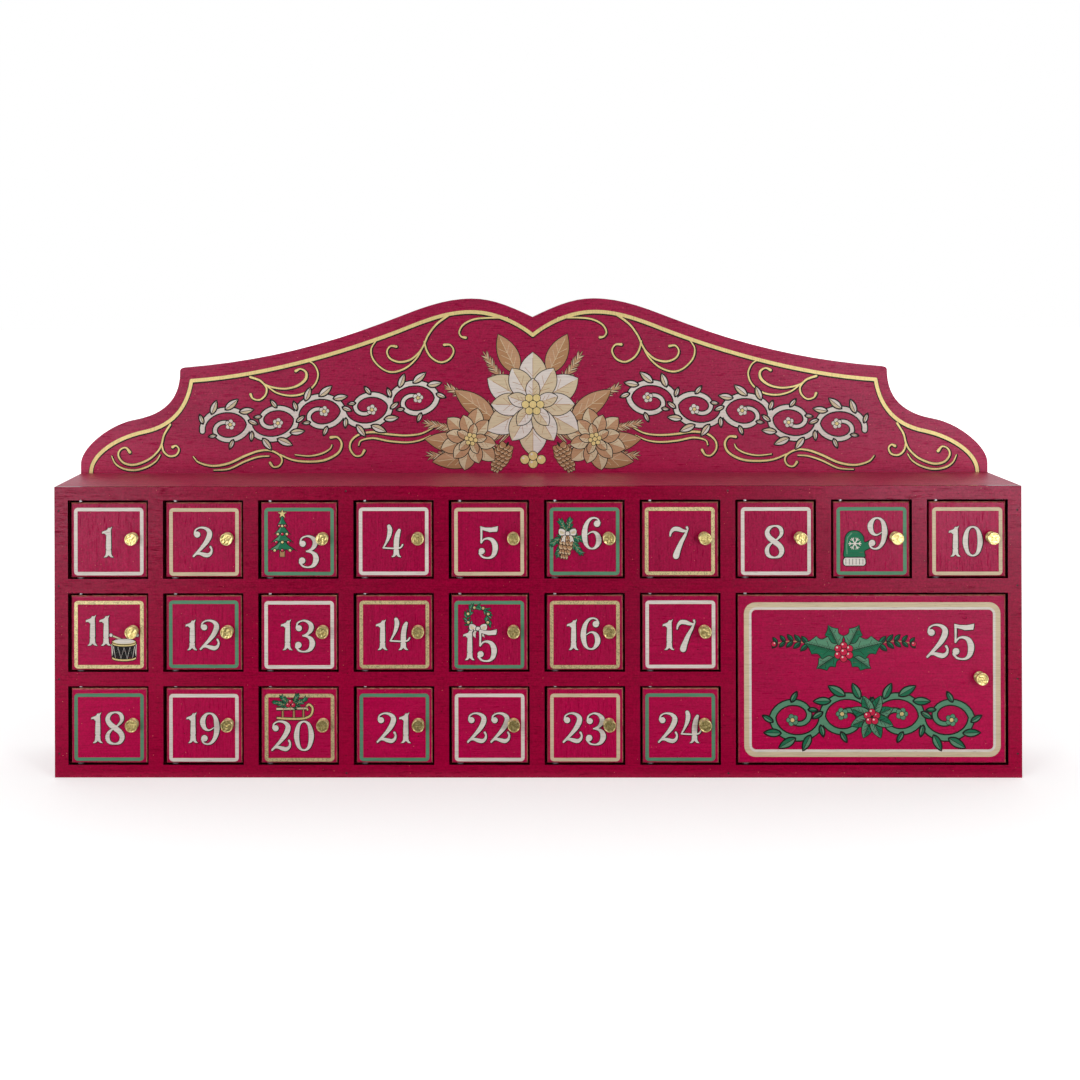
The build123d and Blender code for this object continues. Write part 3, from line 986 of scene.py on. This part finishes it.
def draw_sprig(art, length, needle, seed, bend=0.1, inks=("green", "sage"), spacing=1.1):
    """A fir twig along X with needles on both sides, each with a dark edge."""
    chance = random.Random(seed)
    count = max(4, round(length / spacing))
    needles = []
    for index in range(count):
        part = (index + 0.5) / count
        slope = math.degrees(math.atan(2 * bend * part))
        for side in (1, -1):
            angle = slope + side * (30 + 18 * (1 - part)) + chance.uniform(-9, 9)
            size = needle * (1.05 - 0.4 * part) * chance.uniform(0.8, 1.1)
            needles.append((part * length, bend * length * part**2, angle, size))
    needles.append((length, bend * length, math.degrees(math.atan(2 * bend)), 0.6 * needle))
    for x, z, angle, size in needles:
        art.at(x, z, angle).fill("black", needle_loop(size + NEEDLE_EDGE_REACH, NEEDLE_EDGE_WIDTH))
    art.line("brown", [(length * step / 6, bend * length * (step / 6) ** 2) for step in range(7)], 0.6)
    for index, (x, z, angle, size) in enumerate(needles):
        ink = inks[1] if index % 3 == 0 else inks[0]
        art.at(x, z, angle).fill(ink, needle_loop(size, NEEDLE_WIDTH))


def draw_berry(art, x, z, radius, ink="red"):
    """A round berry with a glint."""
    art.outlined(ink, circle(x, z, radius, 14), width=0.35)
    art.dot("cream", x - 0.3 * radius, z + 0.35 * radius, 0.26 * radius, 8)


BOW_TAIL = [(0.4, -0.5), (2.4, -5), (2.6, -10.4), (5, -8.4), (7.4, -9.8), (6, -4.8), (2.4, 0.2)]
BOW_LOOP = [(0, 0), (4, 4.4), (8.6, 5), (10, 1.4), (8.2, -2.4), (4, -2.2)]
BOW_HOLLOW = [(3.4, 0.3), (6.2, 2.5), (8.4, 2.6), (8, 0.2), (5.6, -0.8)]


def draw_bow(art, half_width, ink, shade):
    """A ribbon bow with two notched tails; the knot is at the origin."""
    for half in art.halves():
        pen = half.at(0, 0, 0, half_width / 10)
        pen.outlined(ink, BOW_TAIL, width=0.6)
        pen.line(shade, [(2.2, -1.6), (4.2, -5), (4.8, -7.6)], 0.7)
        pen.outlined(ink, smooth(BOW_LOOP, closed=True, steps=5), width=0.6)
        pen.fill(shade, smooth(BOW_HOLLOW, closed=True, steps=4))
    top, high, foot = 0.2 * half_width, 0.19 * half_width, 0.22 * half_width
    knot = [(-top, high), (top, high), (foot, -top), (-foot, -top)]
    art.outlined(ink, smooth(knot, closed=True, steps=4))


SCROLL_TIGHTENING = 0.0043
SCROLL_DEGREES = range(180, -331, -12)

# Place on the scroll in degrees, lean and size of each leaf.
SCROLL_LEAVES = (
    (158, 40, 0.6), (122, 36, 0.85), (86, 34, 0.95), (50, 34, 0.85),
    (14, 42, 0.62), (-70, 44, 0.6), (-140, 42, 0.5),
)


def scroll_place(radius, stretch, degrees):
    """Point of a scroll: an arch from 180 to 0 degrees, and below that an inward winding."""
    reach = radius * math.exp(-SCROLL_TIGHTENING * max(0, -degrees))
    angle = math.radians(degrees)
    return reach * stretch * math.cos(angle), reach * math.sin(angle)


def scroll_path(radius, stretch):
    """A scroll from left to right, tapering as it winds; x, z and width."""
    path = []
    for degrees in SCROLL_DEGREES:
        width = radius * (0.25 - 0.00032 * max(0, -degrees))
        path.append((*scroll_place(radius, stretch, degrees), width))
    return path


def draw_rinceau(art, scrolls, radius, stretch, ink, shade):
    """A leafy running scroll along X from the origin: arches above and below the line in turn."""
    pens = []
    for index in range(scrolls):
        x = (2 * index + 1) * radius * stretch
        pens.append(art.at(x, 0, 180, flip=True) if index % 2 else art.at(x, 0))
    path = scroll_path(radius, stretch)
    for colour, grow in (("black", SHADOW_LINE), (ink, 0.0)):
        for pen in pens:
            pen.ribbon(colour, path, grow)
    for pen in pens:
        draw_scroll_leaves(pen, radius, stretch, ink, shade)


def draw_scroll_leaves(pen, radius, stretch, ink, shade):
    """Leaves along one scroll and a small flower at its end."""
    for degrees, lean, size in SCROLL_LEAVES:
        angle = math.radians(degrees)
        heading = math.degrees(math.atan2(-math.cos(angle), stretch * math.sin(angle)))
        leaf = pen.at(*scroll_place(radius, stretch, degrees), heading + lean)
        draw_leaf(leaf, size * radius, 0.46 * size * radius, ink, shade, veins=0, outline=0.75)
    x, z = scroll_place(radius, stretch, SCROLL_DEGREES[-1])
    for petal in pen.at(x, z).around(5):
        petal.outlined(ink, circle(0.17 * radius, 0, 0.13 * radius, 10), width=0.3)
    pen.outlined("gold", circle(x, z, 0.11 * radius, 10), width=0.3)


def star_loop(radius, points=5, waist=0.42):
    """A star with one point straight up."""
    loop = []
    for index in range(2 * points):
        reach = radius if index % 2 == 0 else radius * waist
        loop.append(polar(reach, 90 + 180 * index / points))
    return loop


def draw_fir_tree(art):
    """A fir tree in four tiers with a star on top."""
    art.outlined("brown", [(-1.2, -9.6), (1.2, -9.6), (1.2, -6.4), (-1.2, -6.4)])
    for tier in range(4):
        foot = -7.2 + 3.7 * tier
        half = 7.0 - 1.45 * tier
        top = foot + 6.4
        hem = [(half * (1 - step / 4), foot + (0.0 if step % 2 == 0 else 1.1)) for step in range(9)]
        art.outlined("green", hem + [(-0.35 * half, foot + 3.2), (0, top), (0.35 * half, foot + 3.2)])
        lit = [(0, top - 0.8), (-0.3 * half, foot + 3.1),
               (-0.78 * half, foot + 0.9), (-0.3 * half, foot + 1.4)]
        art.fill("sage", lit)
        for step in (-2, 0, 2):
            ink = "gold" if (tier + step // 2) % 2 else "red"
            draw_berry(art, step * half / 4, foot + 0.6, 0.75, ink)
    art.at(0, 10.0).outlined("gold", star_loop(2.3))


# Seed, angle and length of each twig.
CONE_TWIGS = ((61, 205, 9), (62, 238, 11), (63, 300, 11), (64, 336, 9), (65, 75, 7), (66, 112, 7))
SLED_TWIGS = ((71, 20, 8), (72, 160, 8), (73, 52, 6), (74, 128, 6))


def draw_cone_sprig(art):
    """A hanging cone with twigs and a bow."""
    for seed, angle, length in CONE_TWIGS:
        draw_sprig(art.at(0, 3.0, angle), length, 3.6, seed)
    draw_cone(art.at(-0.2, 2.6, -8), 11.5, 7.6)
    draw_bow(art.at(0, 3.6), 4.6, "cream", "tan")


def draw_mitten(art):
    """A knitted mitten with a snowflake and a ribbed cuff."""
    hand = smooth([
        (-4.6, -4), (4.8, -4), (5.2, -0.8), (7.6, 0.6), (9.2, 3), (8, 4.6),
        (5.2, 3.8), (4.6, 6.6), (2, 9.2), (-2, 9.2), (-4.4, 6.6), (-5, 1),
    ], closed=True, steps=5)
    art.outlined("green", hand, width=0.5)
    art.line("sage", [(-3.6, -2), (-3.8, 2), (-3.3, 6), (-1.4, 8.2)], 0.7)
    for index in range(3):
        spoke = art.at(0.3, 3.0, 60 * index)
        spoke.line("cream", [(-3, 0), (3, 0)], 0.5)
        for end in (-1, 1):
            spoke.line("cream", [(end * 2.7, 0.9), (end * 1.8, 0), (end * 2.7, -0.9)], 0.4)
    art.outlined("cream", rounded(-5.6, 5.8, -8.2, -3.8, 1.6), width=0.5)
    for index in range(6):
        x = -4.2 + 1.7 * index
        art.line("black", [(x, -7.4), (x, -4.7)], 0.25)


def draw_drum(art):
    """A laced drum with two sticks behind it."""
    wide, top, foot, dip = 7.2, 3.6, -6.2, 1.7
    for half in art.halves():
        stick = half.at(0, 4.4).at(0, 0, 22)
        stick.ribbon("black", [(-2, 0, 1.5), (8, 0, 1.5)])
        stick.ribbon("tan", [(-2, 0, 0.9), (8, 0, 0.9)])
        stick.outlined("cream", circle(8.4, 0, 1.2, 12))

    def front_edge(height, steps=14):
        """The near half of a rim, from right to left."""
        turns = [math.pi * step / steps for step in range(steps + 1)]
        return [(wide * math.cos(turn), height - dip * math.sin(turn)) for turn in turns]

    art.outlined("black", [(wide, top)] + front_edge(foot) + [(-wide, top)], width=0.5)
    zigzag = []
    for step, (x, z) in enumerate(front_edge(0.0, 12)):
        zigzag.append((x, (foot + 1.6 if step % 2 else top - 1.6) + z))
    art.line("black", zigzag, 0.9)
    art.line("cream", zigzag, 0.5)
    for height in (foot, top - 1.2):
        band = front_edge(height)
        art.outlined("gold", band + [(x, z + 1.3) for x, z in reversed(band)], width=0.4)
    rim = ellipse(0, top, wide, dip, 28)
    art.outlined("gold", rim, width=0.45)
    art.at(0, 0.25).fill("cream", [(0.86 * x, 0.86 * (z - top) + top) for x, z in rim])


def draw_wreath(art):
    """A fir wreath with berries and a bow below."""
    radius = 5.4
    chance = random.Random(15)
    needles = []
    count = 66
    for index in range(count):
        degrees = 360 * index / count + chance.uniform(-3, 3)
        reach = radius * chance.uniform(0.86, 1.12)
        lean = chance.choice((-1, 1)) * chance.uniform(20, 55)
        needles.append((*polar(reach, degrees), degrees - 90 + lean))
    for x, z, angle in needles:
        art.at(x, z, angle).fill("black", needle_loop(0.52 * radius, 1.1))
    for index, (x, z, angle) in enumerate(needles):
        ink = "sage" if index % 3 == 0 else "green"
        art.at(x, z, angle).fill(ink, needle_loop(0.46 * radius, 0.6))
    for degrees in (20, 62, 110, 158, 205, 335):
        draw_berry(art, *polar(radius, degrees), 0.85, "gold")
    draw_bow(art.at(0, -radius), 0.85 * radius, "cream", "tan")


def draw_sled(art):
    """A wooden sled seen from the side, with a curled runner, slats and a fir twig on its deck."""
    runner = smooth([
        (-8, -4.6), (-2, -5), (5, -4.8), (8.6, -3.2), (9.6, 0.2), (7.8, 2.2), (6.4, 0.8), (7, -0.4),
    ])
    art.line("black", runner, 1.7)
    art.line("gold", runner, 0.95)
    for x in (-5.4, 0.2, 5):
        post = [(x - 0.6, -4.4), (x + 0.6, -4.4), (x + 0.5, -0.4), (x - 0.5, -0.4)]
        art.outlined("brown", post, width=0.35)
    art.outlined("tan", [(-8.6, -0.8), (6.4, -0.4), (7.2, 0.9), (-8.6, 0.7)], width=0.45)
    for x in (-5, -1.6, 1.8, 5):
        art.line("brown", [(x, -0.6), (x, 0.6)], 0.35)
    for seed, angle, length in SLED_TWIGS:
        draw_sprig(art.at(-1.4, 1.2, angle), length, 3.0, seed)
    for x, z in ((-2.7, 1.9), (-0.1, 1.9), (-1.4, 3.6)):
        draw_berry(art, x, z, 1.2)


HOLLY_SPINES = ((0.0, 0.0), (0.16, 0.3), (0.44, 0.5), (0.74, 0.4), (1.0, 0.0))


def draw_holly_leaf(art, length, width):
    """A holly leaf along X from its foot: hollow curves between the spines, one half darker."""
    halves = []
    for side in (width, -width):
        edge = [(0.0, 0.0)]
        for (x0, z0), (x1, z1) in zip(HOLLY_SPINES, HOLLY_SPINES[1:]):
            hollow = ((x0 + x1) / 2 * length, (z0 + z1) / 2 * side * 0.62)
            edge += cubic((x0 * length, z0 * side), hollow, hollow, (x1 * length, z1 * side), 5)
        halves.append(edge)
    upper, lower = halves
    loop = upper + lower[-2:0:-1]
    art.fill("sage", loop)
    art.fill("green", lower)
    for x, z in HOLLY_SPINES[1:-1]:
        for side in (width, -width):
            art.line("black", [((x - 0.13) * length, 0), (x * length, 0.62 * z * side)], VEIN)
    hatch(art, length, 0.11 * width, 18)
    art.line("black", [(0, 0), (0.94 * length, 0)], VEIN * 1.6)
    art.line("black", loop, Art.OUTLINE, closed=True)


def draw_leafy_twig(art, length, leaves):
    """A thin twig along X with pairs of small leaves and a berry at the tip."""
    stem = [(length * step / 8, 0.1 * length * math.sin(math.pi * step / 8)) for step in range(9)]
    art.line("brown", stem, 0.5)
    for index in range(leaves):
        part = (index + 1) / (leaves + 0.5)
        x, z = length * part, 0.1 * length * math.sin(math.pi * part)
        for side in (1, -1):
            draw_leaf(art.at(x, z, 46 * side), 5.6 - 2 * part, 2.9 - part, "green", "pine", veins=0)
    draw_berry(art, length, 0, 1.3)


def draw_garland(art):
    """The large door's ornament: a mirrored leaf scroll below, holly with leafy twigs above."""
    foot = -19
    leaf_length = 11.5
    for half in art.halves():
        draw_rinceau(half.at(0, foot), 2, 10.5, 1.18, "sage", "green")
    for leaf in art.at(0, foot).around(8, 22.5):
        draw_leaf(leaf, leaf_length, 6.2, "green", "sage")
        hatch(leaf, leaf_length, 0.7, 12)
    for index in range(5):
        x, z = polar(2.4, 72 * index + 18)
        draw_berry(art, x, foot + z, 1.8)
    berry = 1.9
    crown = art.at(-14, 13.5)
    for half in crown.halves():
        draw_leafy_twig(half.at(14, 2.5, 4), 21, 5)
        for angle, length in ((64, 15), (-34, 15), (14, 19)):
            draw_holly_leaf(half.at(1.2, 0, angle), length, 0.62 * length)
    for index in range(6):
        draw_berry(crown, *polar(3.2, 60 * index + 30), berry)
    draw_berry(crown, 0, 0, berry)


# For each door with a picture: its drawing, place from the door's middle, and scale.
MOTIFS = {
    3: (draw_fir_tree, -8.4, 2.0, 1.1),
    6: (draw_cone_sprig, -8.6, -0.5, 1.0),
    9: (draw_mitten, -8.6, -5.2, 1.0),
    11: (draw_drum, 7.4, -7.6, 0.85),
    15: (draw_wreath, -5.8, 7.4, 1.0),
    20: (draw_sled, -3.0, 8.4, 1.0),
    BIG_DOOR: (draw_garland, 0.0, 0.0, 1.0),
}
FIGURE_HEIGHT = 15.1
BIG_FIGURE_HEIGHT = 16.8
FIGURE_OFFSET = (-0.7, -1.05)
FIGURE_OFFSETS = {
    3: (4.7, -5.3), 6: (3.4, 2.6), 9: (3.0, 3.4), 11: (-5.5, 1.2), 15: (-4.8, -6.1), 20: (-3.6, -5.1),
    BIG_DOOR: (39.0, 19.0),
}


def print_doors(inks):
    drift = random.Random(25)
    for number in DOORS:
        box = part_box(f"door_{number:02}")
        x, z = (value / MM for value in middle(box))
        art = Art()
        height = FIGURE_HEIGHT
        if number == BIG_DOOR:
            height = BIG_FIGURE_HEIGHT
            dx, dz = BIG_BORDER_OFFSET
            draw_bands(art, x + dx, z + dz, BIG_BORDER_SIZE, BIG_BORDER_BANDS)
        else:
            ink = next(name for name, numbers in BORDER_INKS.items() if number in numbers)
            shift = [drift.uniform(-BORDER_PLAY, BORDER_PLAY) for _ in range(2)]
            dx, dz = BORDER_OFFSET
            bands = ((ink, 0.0, BORDER_ROUND), (None, BORDER_WIDTH, BORDER_INNER_ROUND))
            draw_bands(art, x + dx + shift[0], z + dz + shift[1], BORDER_SIZE, bands)
        if number in MOTIFS:
            draw, dx, dz, scale = MOTIFS[number]
            draw(art.at(x + dx, z + dz, 0, scale))
        dx, dz = FIGURE_OFFSETS.get(number, FIGURE_OFFSET)
        draw_number(art, number, x + dx, z + dz, height)
        piece = art.mesh(f"door_print_{number:02}", box[0][1], inks)
        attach(piece, f"day_{number:02}")


# Crest ornament, drawn for the left half in millimetres and mirrored

def border_curve():
    """Centre line of the crest's gold border, from the left foot to the notch in the middle."""
    foot = (-236.2, 146.0)
    points = [foot]
    points += cubic(foot, (-236.2, 156.0), (-222.0, 164.8), (-207.8, 167.7))
    points += cubic(points[-1], (-193.0, 170.7), (-184.6, 180.0), (-182.3, 195.0))
    corner = len(points) - 1
    points += cubic(points[-1], (-145.0, 197.4), (-105.0, 208.6), (-72.0, 221.0))
    points += cubic(points[-1], (-57.0, 227.0), (-46.0, 231.4), (-33.0, 231.4))
    points += cubic(points[-1], (-20.0, 231.4), (-8.0, 225.5), (0.0, 219.0))
    return points[:corner + 1], points[corner:]


SCROLLS = [
    [(-193.7, 171.6, 1.1), (-197, 166.2, 1.0), (-198.3, 161.3, 1.0), (-200.4, 157.3, 1.0),
     (-205.3, 153, 1.1), (-212.7, 150.2, 1.2), (-218.5, 151.1, 1.1), (-221.5, 154.8, 1.0),
     (-220.6, 158.1, 0.9), (-217.6, 159.3, 0.9), (-215.4, 156.9, 1.6)],
    [(-198.3, 161.3, 0.9), (-197.3, 157.3, 1.0), (-194.3, 154.8, 1.0), (-190.6, 155.4, 1.0),
     (-189.1, 158.3, 0.9), (-190.6, 160.3, 0.9), (-192.5, 159.6, 1.5)],
    [(-225.1, 154.8, 0.6), (-223.1, 150.8, 0.8), (-218.8, 148.1, 1.0), (-212.7, 147.3, 1.0),
     (-206.5, 148.9, 1.0), (-201.6, 151.9, 0.8), (-199.2, 155.4, 0.6)],
    [(-150.8, 196.9, 1.3), (-145.9, 195.2, 1.1), (-142.8, 192.8, 1.0), (-137.9, 191.2, 1.0),
     (-131.8, 190.7, 1.0), (-125.7, 192.2, 1.2), (-121.4, 195.6, 1.5), (-121, 199.3, 1.2),
     (-123.8, 201.2, 0.9), (-126.5, 200.1, 1.5)],
    [(-144.7, 194.4, 0.9), (-142.2, 191, 1.0), (-142.8, 187.3, 1.0), (-145.9, 184.7, 0.9),
     (-149.4, 185.4, 0.9), (-150.7, 187.7, 1.4)],
    [(-141.6, 191.9, 0.8), (-136.7, 188.5, 0.9), (-129.3, 186.9, 1.0), (-122, 188.3, 1.0),
     (-116.5, 192.8, 0.9), (-114.6, 198.3, 0.9), (-116.5, 203.2, 0.8), (-119.5, 205.4, 0.7)],
    [(-45.1, 229.6, 1.3), (-51.4, 224.8, 1.1), (-55.8, 219, 1.0), (-58.1, 213.8, 1.0),
     (-60.7, 209.8, 1.0), (-65.3, 206, 1.1), (-71.1, 204.8, 1.1), (-76, 206.6, 1.0),
     (-77.8, 210.2, 0.9), (-76, 213.2, 0.9), (-72.8, 213, 1.4)],
    [(-57.8, 215.6, 0.9), (-56.6, 210.9, 1.0), (-53.8, 206.9, 1.0), (-49.1, 204.6, 1.0),
     (-44.5, 206.3, 1.0), (-42.2, 210.4, 0.9), (-43.9, 213.7, 0.9), (-47.2, 213.9, 1.4)],
    [(-59, 212.1, 0.8), (-61.9, 206.9, 0.9), (-67.6, 201.7, 1.0), (-74.6, 199.4, 1.0),
     (-80.3, 201.2, 0.9), (-85.2, 206.3, 0.9), (-86.2, 211.8, 0.8), (-83.4, 216.4, 0.7)],
    [(-13.5, 228.2, 0.8), (-24.8, 228.2, 1.0), (-31.8, 227.3, 1.0), (-37, 224.6, 1.0),
     (-39.2, 220.8, 0.9), (-38.1, 218.3, 0.9), (-35.8, 217.7, 1.4)],
    [(-181.4, 154.4, 0.6), (-178.3, 151.3, 0.9), (-171, 149.5, 1.1), (-162.4, 150.9, 1.2),
     (-153.8, 154.8, 1.2), (-146.5, 157.4, 1.1), (-140.4, 157.7, 1.0), (-135.5, 155.4, 1.0),
     (-134, 152.4, 0.9), (-135.5, 149.5, 0.9), (-138.5, 148.9, 0.9), (-140.4, 151.1, 1.4)],
    [(-134.9, 155.4, 0.8), (-128.1, 152.6, 1.0), (-119.5, 151.7, 1.1), (-111, 152.6, 1.2),
     (-104.2, 156.2, 1.2), (-102.1, 160.9, 1.1), (-104.2, 164.6, 1.0), (-107.9, 164.6, 1.5)],
    [(-170.4, 147.2, 0.6), (-162.4, 147.9, 0.9), (-153.8, 151.9, 1.0), (-146.5, 154.3, 0.9),
     (-141, 154.7, 0.7)],
    [(-126.9, 155.4, 0.6), (-119.5, 154.7, 0.8), (-112.8, 156, 0.9), (-108.5, 158.4, 0.8),
     (-107.3, 160.6, 0.6)],
    [(-90.0, 157.6, 1.4), (-91.8, 155.0, 0.9), (-95, 154.9, 0.9), (-97.6, 158.5, 1.0),
     (-96.9, 162.8, 1.0), (-92.6, 166.2, 1.1), (-85.2, 167.4, 1.2), (-76.7, 166.2, 1.1),
     (-67.6, 165.6, 1.0), (-59.5, 166.6, 0.9), (-52.8, 169.9, 0.6)],
    [(-93, 160.4, 0.7), (-91.6, 163, 0.8), (-85.2, 164.2, 1.0), (-76.7, 162.6, 1.0),
     (-67.6, 161.9, 0.9), (-60.7, 162.9, 0.8), (-54.6, 165.5, 0.6)],
]
SCROLL_SHADOW = (0.24, -0.28)
SCROLL_EDGE = 0.45
SCROLL_TRIM = -0.05
BORDER_LINE = 1.9
BORDER_SHADOW = 0.4


def draw_scrollwork(art):
    """The gold border and scrolls of both halves, over their black shadows."""
    halves = []
    for turn in (list, mirrored):
        borders = [turn([(x, z, BORDER_LINE) for x, z in curve]) for curve in border_curve()]
        halves.append((borders, [smooth(turn(scroll)) for scroll in SCROLLS]))
    for borders, _ in halves:
        for stroke in borders:
            art.ribbon("black", stroke, BORDER_SHADOW, (0.0, -BORDER_SHADOW))
    for _, scrolls in halves:
        for stroke in scrolls:
            art.ribbon("black", stroke, SCROLL_EDGE, SCROLL_SHADOW)
    for borders, scrolls in halves:
        for stroke in scrolls:
            art.ribbon("gold", stroke, SCROLL_TRIM)
        for stroke in borders:
            art.ribbon("gold", stroke)


RINCEAU_START = (-176.5, 168.0)
RINCEAU_TILT = 8.0
RINCEAU_SCROLLS = 5
RINCEAU_RADIUS = 9.6
RINCEAU_STRETCH = 1.32


# Twigs: seed, x, z, angle and length; leaves: x, z, angle and length.
CREST_TWIGS = (
    (31, 12, 166, 4, 44), (32, 14, 158, -8, 40), (33, 10, 186, 52, 26), (34, 16, 176, 24, 32),
)
CREST_LEAVES = ((20, 174, 36, 27), (32, 160, 8, 26), (8, 198, 64, 24), (28, 155, -8, 26))
CREST_TWIG_STYLE = {"bend": 0.06, "inks": ("fawn", "tan"), "spacing": 1.3}


def draw_centrepiece(art):
    """Star flowers over leaves, fir twigs and cones, in the middle of the crest."""
    for half in art.halves():
        for seed, x, z, angle, length in CREST_TWIGS:
            draw_sprig(half.at(x, z, angle), length, 6.0, seed, **CREST_TWIG_STYLE)
        for x, z, angle, length in CREST_LEAVES:
            draw_leaf(half.at(x, z, angle), length, 12, "fawn", "brown", "tan")
        draw_cone(half.at(14, 160, 26), 15, 10.5)
        draw_flower(half.at(33, 163.5, 12), 17, "tan", "fawn", "brown")
    draw_flower(art.at(0, 182), 28, "cream", "tan", "brown")
    for x, z in ((-4.4, 152.6), (0, 150.4), (4.4, 152.6), (0, 154.6)):
        draw_berry(art, x, z, 2.5, "gold")


def print_crest(inks):
    art = Art()
    draw_scrollwork(art)
    for half in art.halves():
        vine = half.at(*RINCEAU_START, RINCEAU_TILT)
        draw_rinceau(vine, RINCEAU_SCROLLS, RINCEAU_RADIUS, RINCEAU_STRETCH, "cream", "tan")
    draw_centrepiece(art)
    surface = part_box("back_board")[0][1]
    piece = art.mesh("crest_print", surface, inks)
    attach(piece, "cabinet")


# Stage, light and camera

FLOOR_REACH = 6.0
PAPER = (0.8, 0.8, 0.8, 1.0)
PAPER_IN_FRONT = (0.04, 0.04, 0.04, 1.0)
DARK_BAND = (0.16, 0.4)
CLEAR_EDGE = (-0.042, -0.033)
FLOOR_GLOW_NEAR = 0.45
FLOOR_GLOW_RUN = 0.5
BACKDROP_LIGHT = 0.9
ROOM_LIGHT = 0.04
BACKDROP_FADE = (-0.5, 0.3)
AIM = (0, 0, 0.12)

# Name, place, target, size and power of each light.
SOFTBOXES = (
    ("left_softbox", (-0.72, -1.15, 0.4), AIM, (0.4, 0.5), 3.3),
    ("right_softbox", (0.72, -1.15, 0.4), AIM, (0.4, 0.5), 3.3),
    ("left_card", (-0.5, -0.75, 0.2), (-0.2, 0, 0.06), (0.34, 0.36), 1.5),
    ("right_card", (0.48, -0.75, 0.2), (0.2, 0, 0.06), (0.34, 0.36), 1.7),
    ("top_softbox", (0, -0.6, 1.4), AIM, (1.2, 0.8), 2.6),
)
CAMERA_PLACE = (-0.0272, -0.836, 0.2537)
CAMERA_TURN = (90, 0.15, 0.52)
CAMERA_SENSOR = 36.0
CAMERA_LENS = 53.75
CAMERA_SHIFT = (0.0677, -0.2499)


def make_floor():
    """Pale paper with the cabinet's shadow; a glow that the camera sees makes the rest white."""
    mesh = bpy.data.meshes.new("floor")
    corners = [(-FLOOR_REACH, -FLOOR_REACH, 0), (FLOOR_REACH, -FLOOR_REACH, 0),
               (FLOOR_REACH, FLOOR_REACH, 0), (-FLOOR_REACH, FLOOR_REACH, 0)]
    mesh.from_pydata(corners, [], [(0, 1, 2, 3)])
    floor = put("floor", mesh)
    graph = Graph.material("floor_paper")
    path = graph.add("ShaderNodeLightPath").outputs
    place = {0: graph.coordinates()}
    distance = graph.add("ShaderNodeVectorMath", place, operation="LENGTH").outputs["Value"]
    across = graph.math("ABSOLUTE", graph.place("X"))
    reflected = graph.math("MAXIMUM", path["Is Glossy Ray"], path["Is Transmission Ray"])
    behind = graph.ramp(graph.place("Y"), *CLEAR_EDGE)
    clear = graph.math("MAXIMUM", behind, graph.ramp(across, *DARK_BAND))
    seen = graph.math("MAXIMUM", path["Is Camera Ray"], graph.times(reflected, clear))
    shade = graph.times(reflected, graph.math("SUBTRACT", 1.0, clear))
    half_width = cad_box[1][0]
    level = graph.ramp(distance, half_width, half_width + FLOOR_GLOW_RUN, FLOOR_GLOW_NEAR, 1.0)
    paper = graph.add("ShaderNodeBsdfDiffuse", {"Color": graph.mix(shade, PAPER, PAPER_IN_FRONT)})
    white = graph.add("ShaderNodeEmission", {"Strength": graph.times(seen, level)})
    mixed = graph.add("ShaderNodeAddShader", {0: paper.outputs[0], 1: white.outputs[0]})
    nodes = graph.tree.nodes
    nodes.remove(nodes["Principled BSDF"])
    graph.set(nodes["Material Output"], "Surface", mixed.outputs[0])
    mesh.materials.append(graph.owner)


def make_world():
    """White to the camera; elsewhere a white backdrop behind the cabinet and a dim room before it."""
    graph = Graph(bpy.data.worlds.new("studio"))
    bpy.context.scene.world = graph.owner
    sky = graph.add("ShaderNodeTexCoord").outputs["Generated"]
    depth = graph.add("ShaderNodeSeparateXYZ", {0: sky}).outputs["Y"]
    fade = graph.ramp(depth, *BACKDROP_FADE, ROOM_LIGHT, BACKDROP_LIGHT, "LINEAR")
    seen = graph.add("ShaderNodeLightPath").outputs["Is Camera Ray"]
    background = graph.tree.nodes["Background"]
    graph.set(background, "Color", (1, 1, 1, 1))
    graph.set(background, "Strength", graph.math("MAXIMUM", fade, seen))


def add_softbox(name, place, target, size, power):
    light = bpy.data.lights.new(name, "AREA")
    light.shape = "RECTANGLE"
    light.size, light.size_y = size
    light.energy = power
    lamp = put(name, light)
    lamp.location = place
    lamp.rotation_euler = (Vector(target) - Vector(place)).to_track_quat("-Z", "Y").to_euler()


def make_camera():
    """A level camera, left of the middle and above the crest, shifted to frame the cabinet."""
    data = bpy.data.cameras.new("camera")
    data.sensor_width = CAMERA_SENSOR
    data.lens = CAMERA_LENS
    data.shift_x, data.shift_y = CAMERA_SHIFT
    camera = put("camera", data)
    camera.location = CAMERA_PLACE
    camera.rotation_euler = [math.radians(angle) for angle in CAMERA_TURN]
    bpy.context.scene.camera = camera


def make_stage():
    make_floor()
    make_world()
    for softbox in SOFTBOXES:
        add_softbox(*softbox)
    make_camera()
    bpy.context.scene.view_settings.view_transform = "Standard"


def main():
    dress_frame()
    make_knobs()
    inks = make_inks()
    print_doors(inks)
    print_crest(inks)
    make_stage()


main()
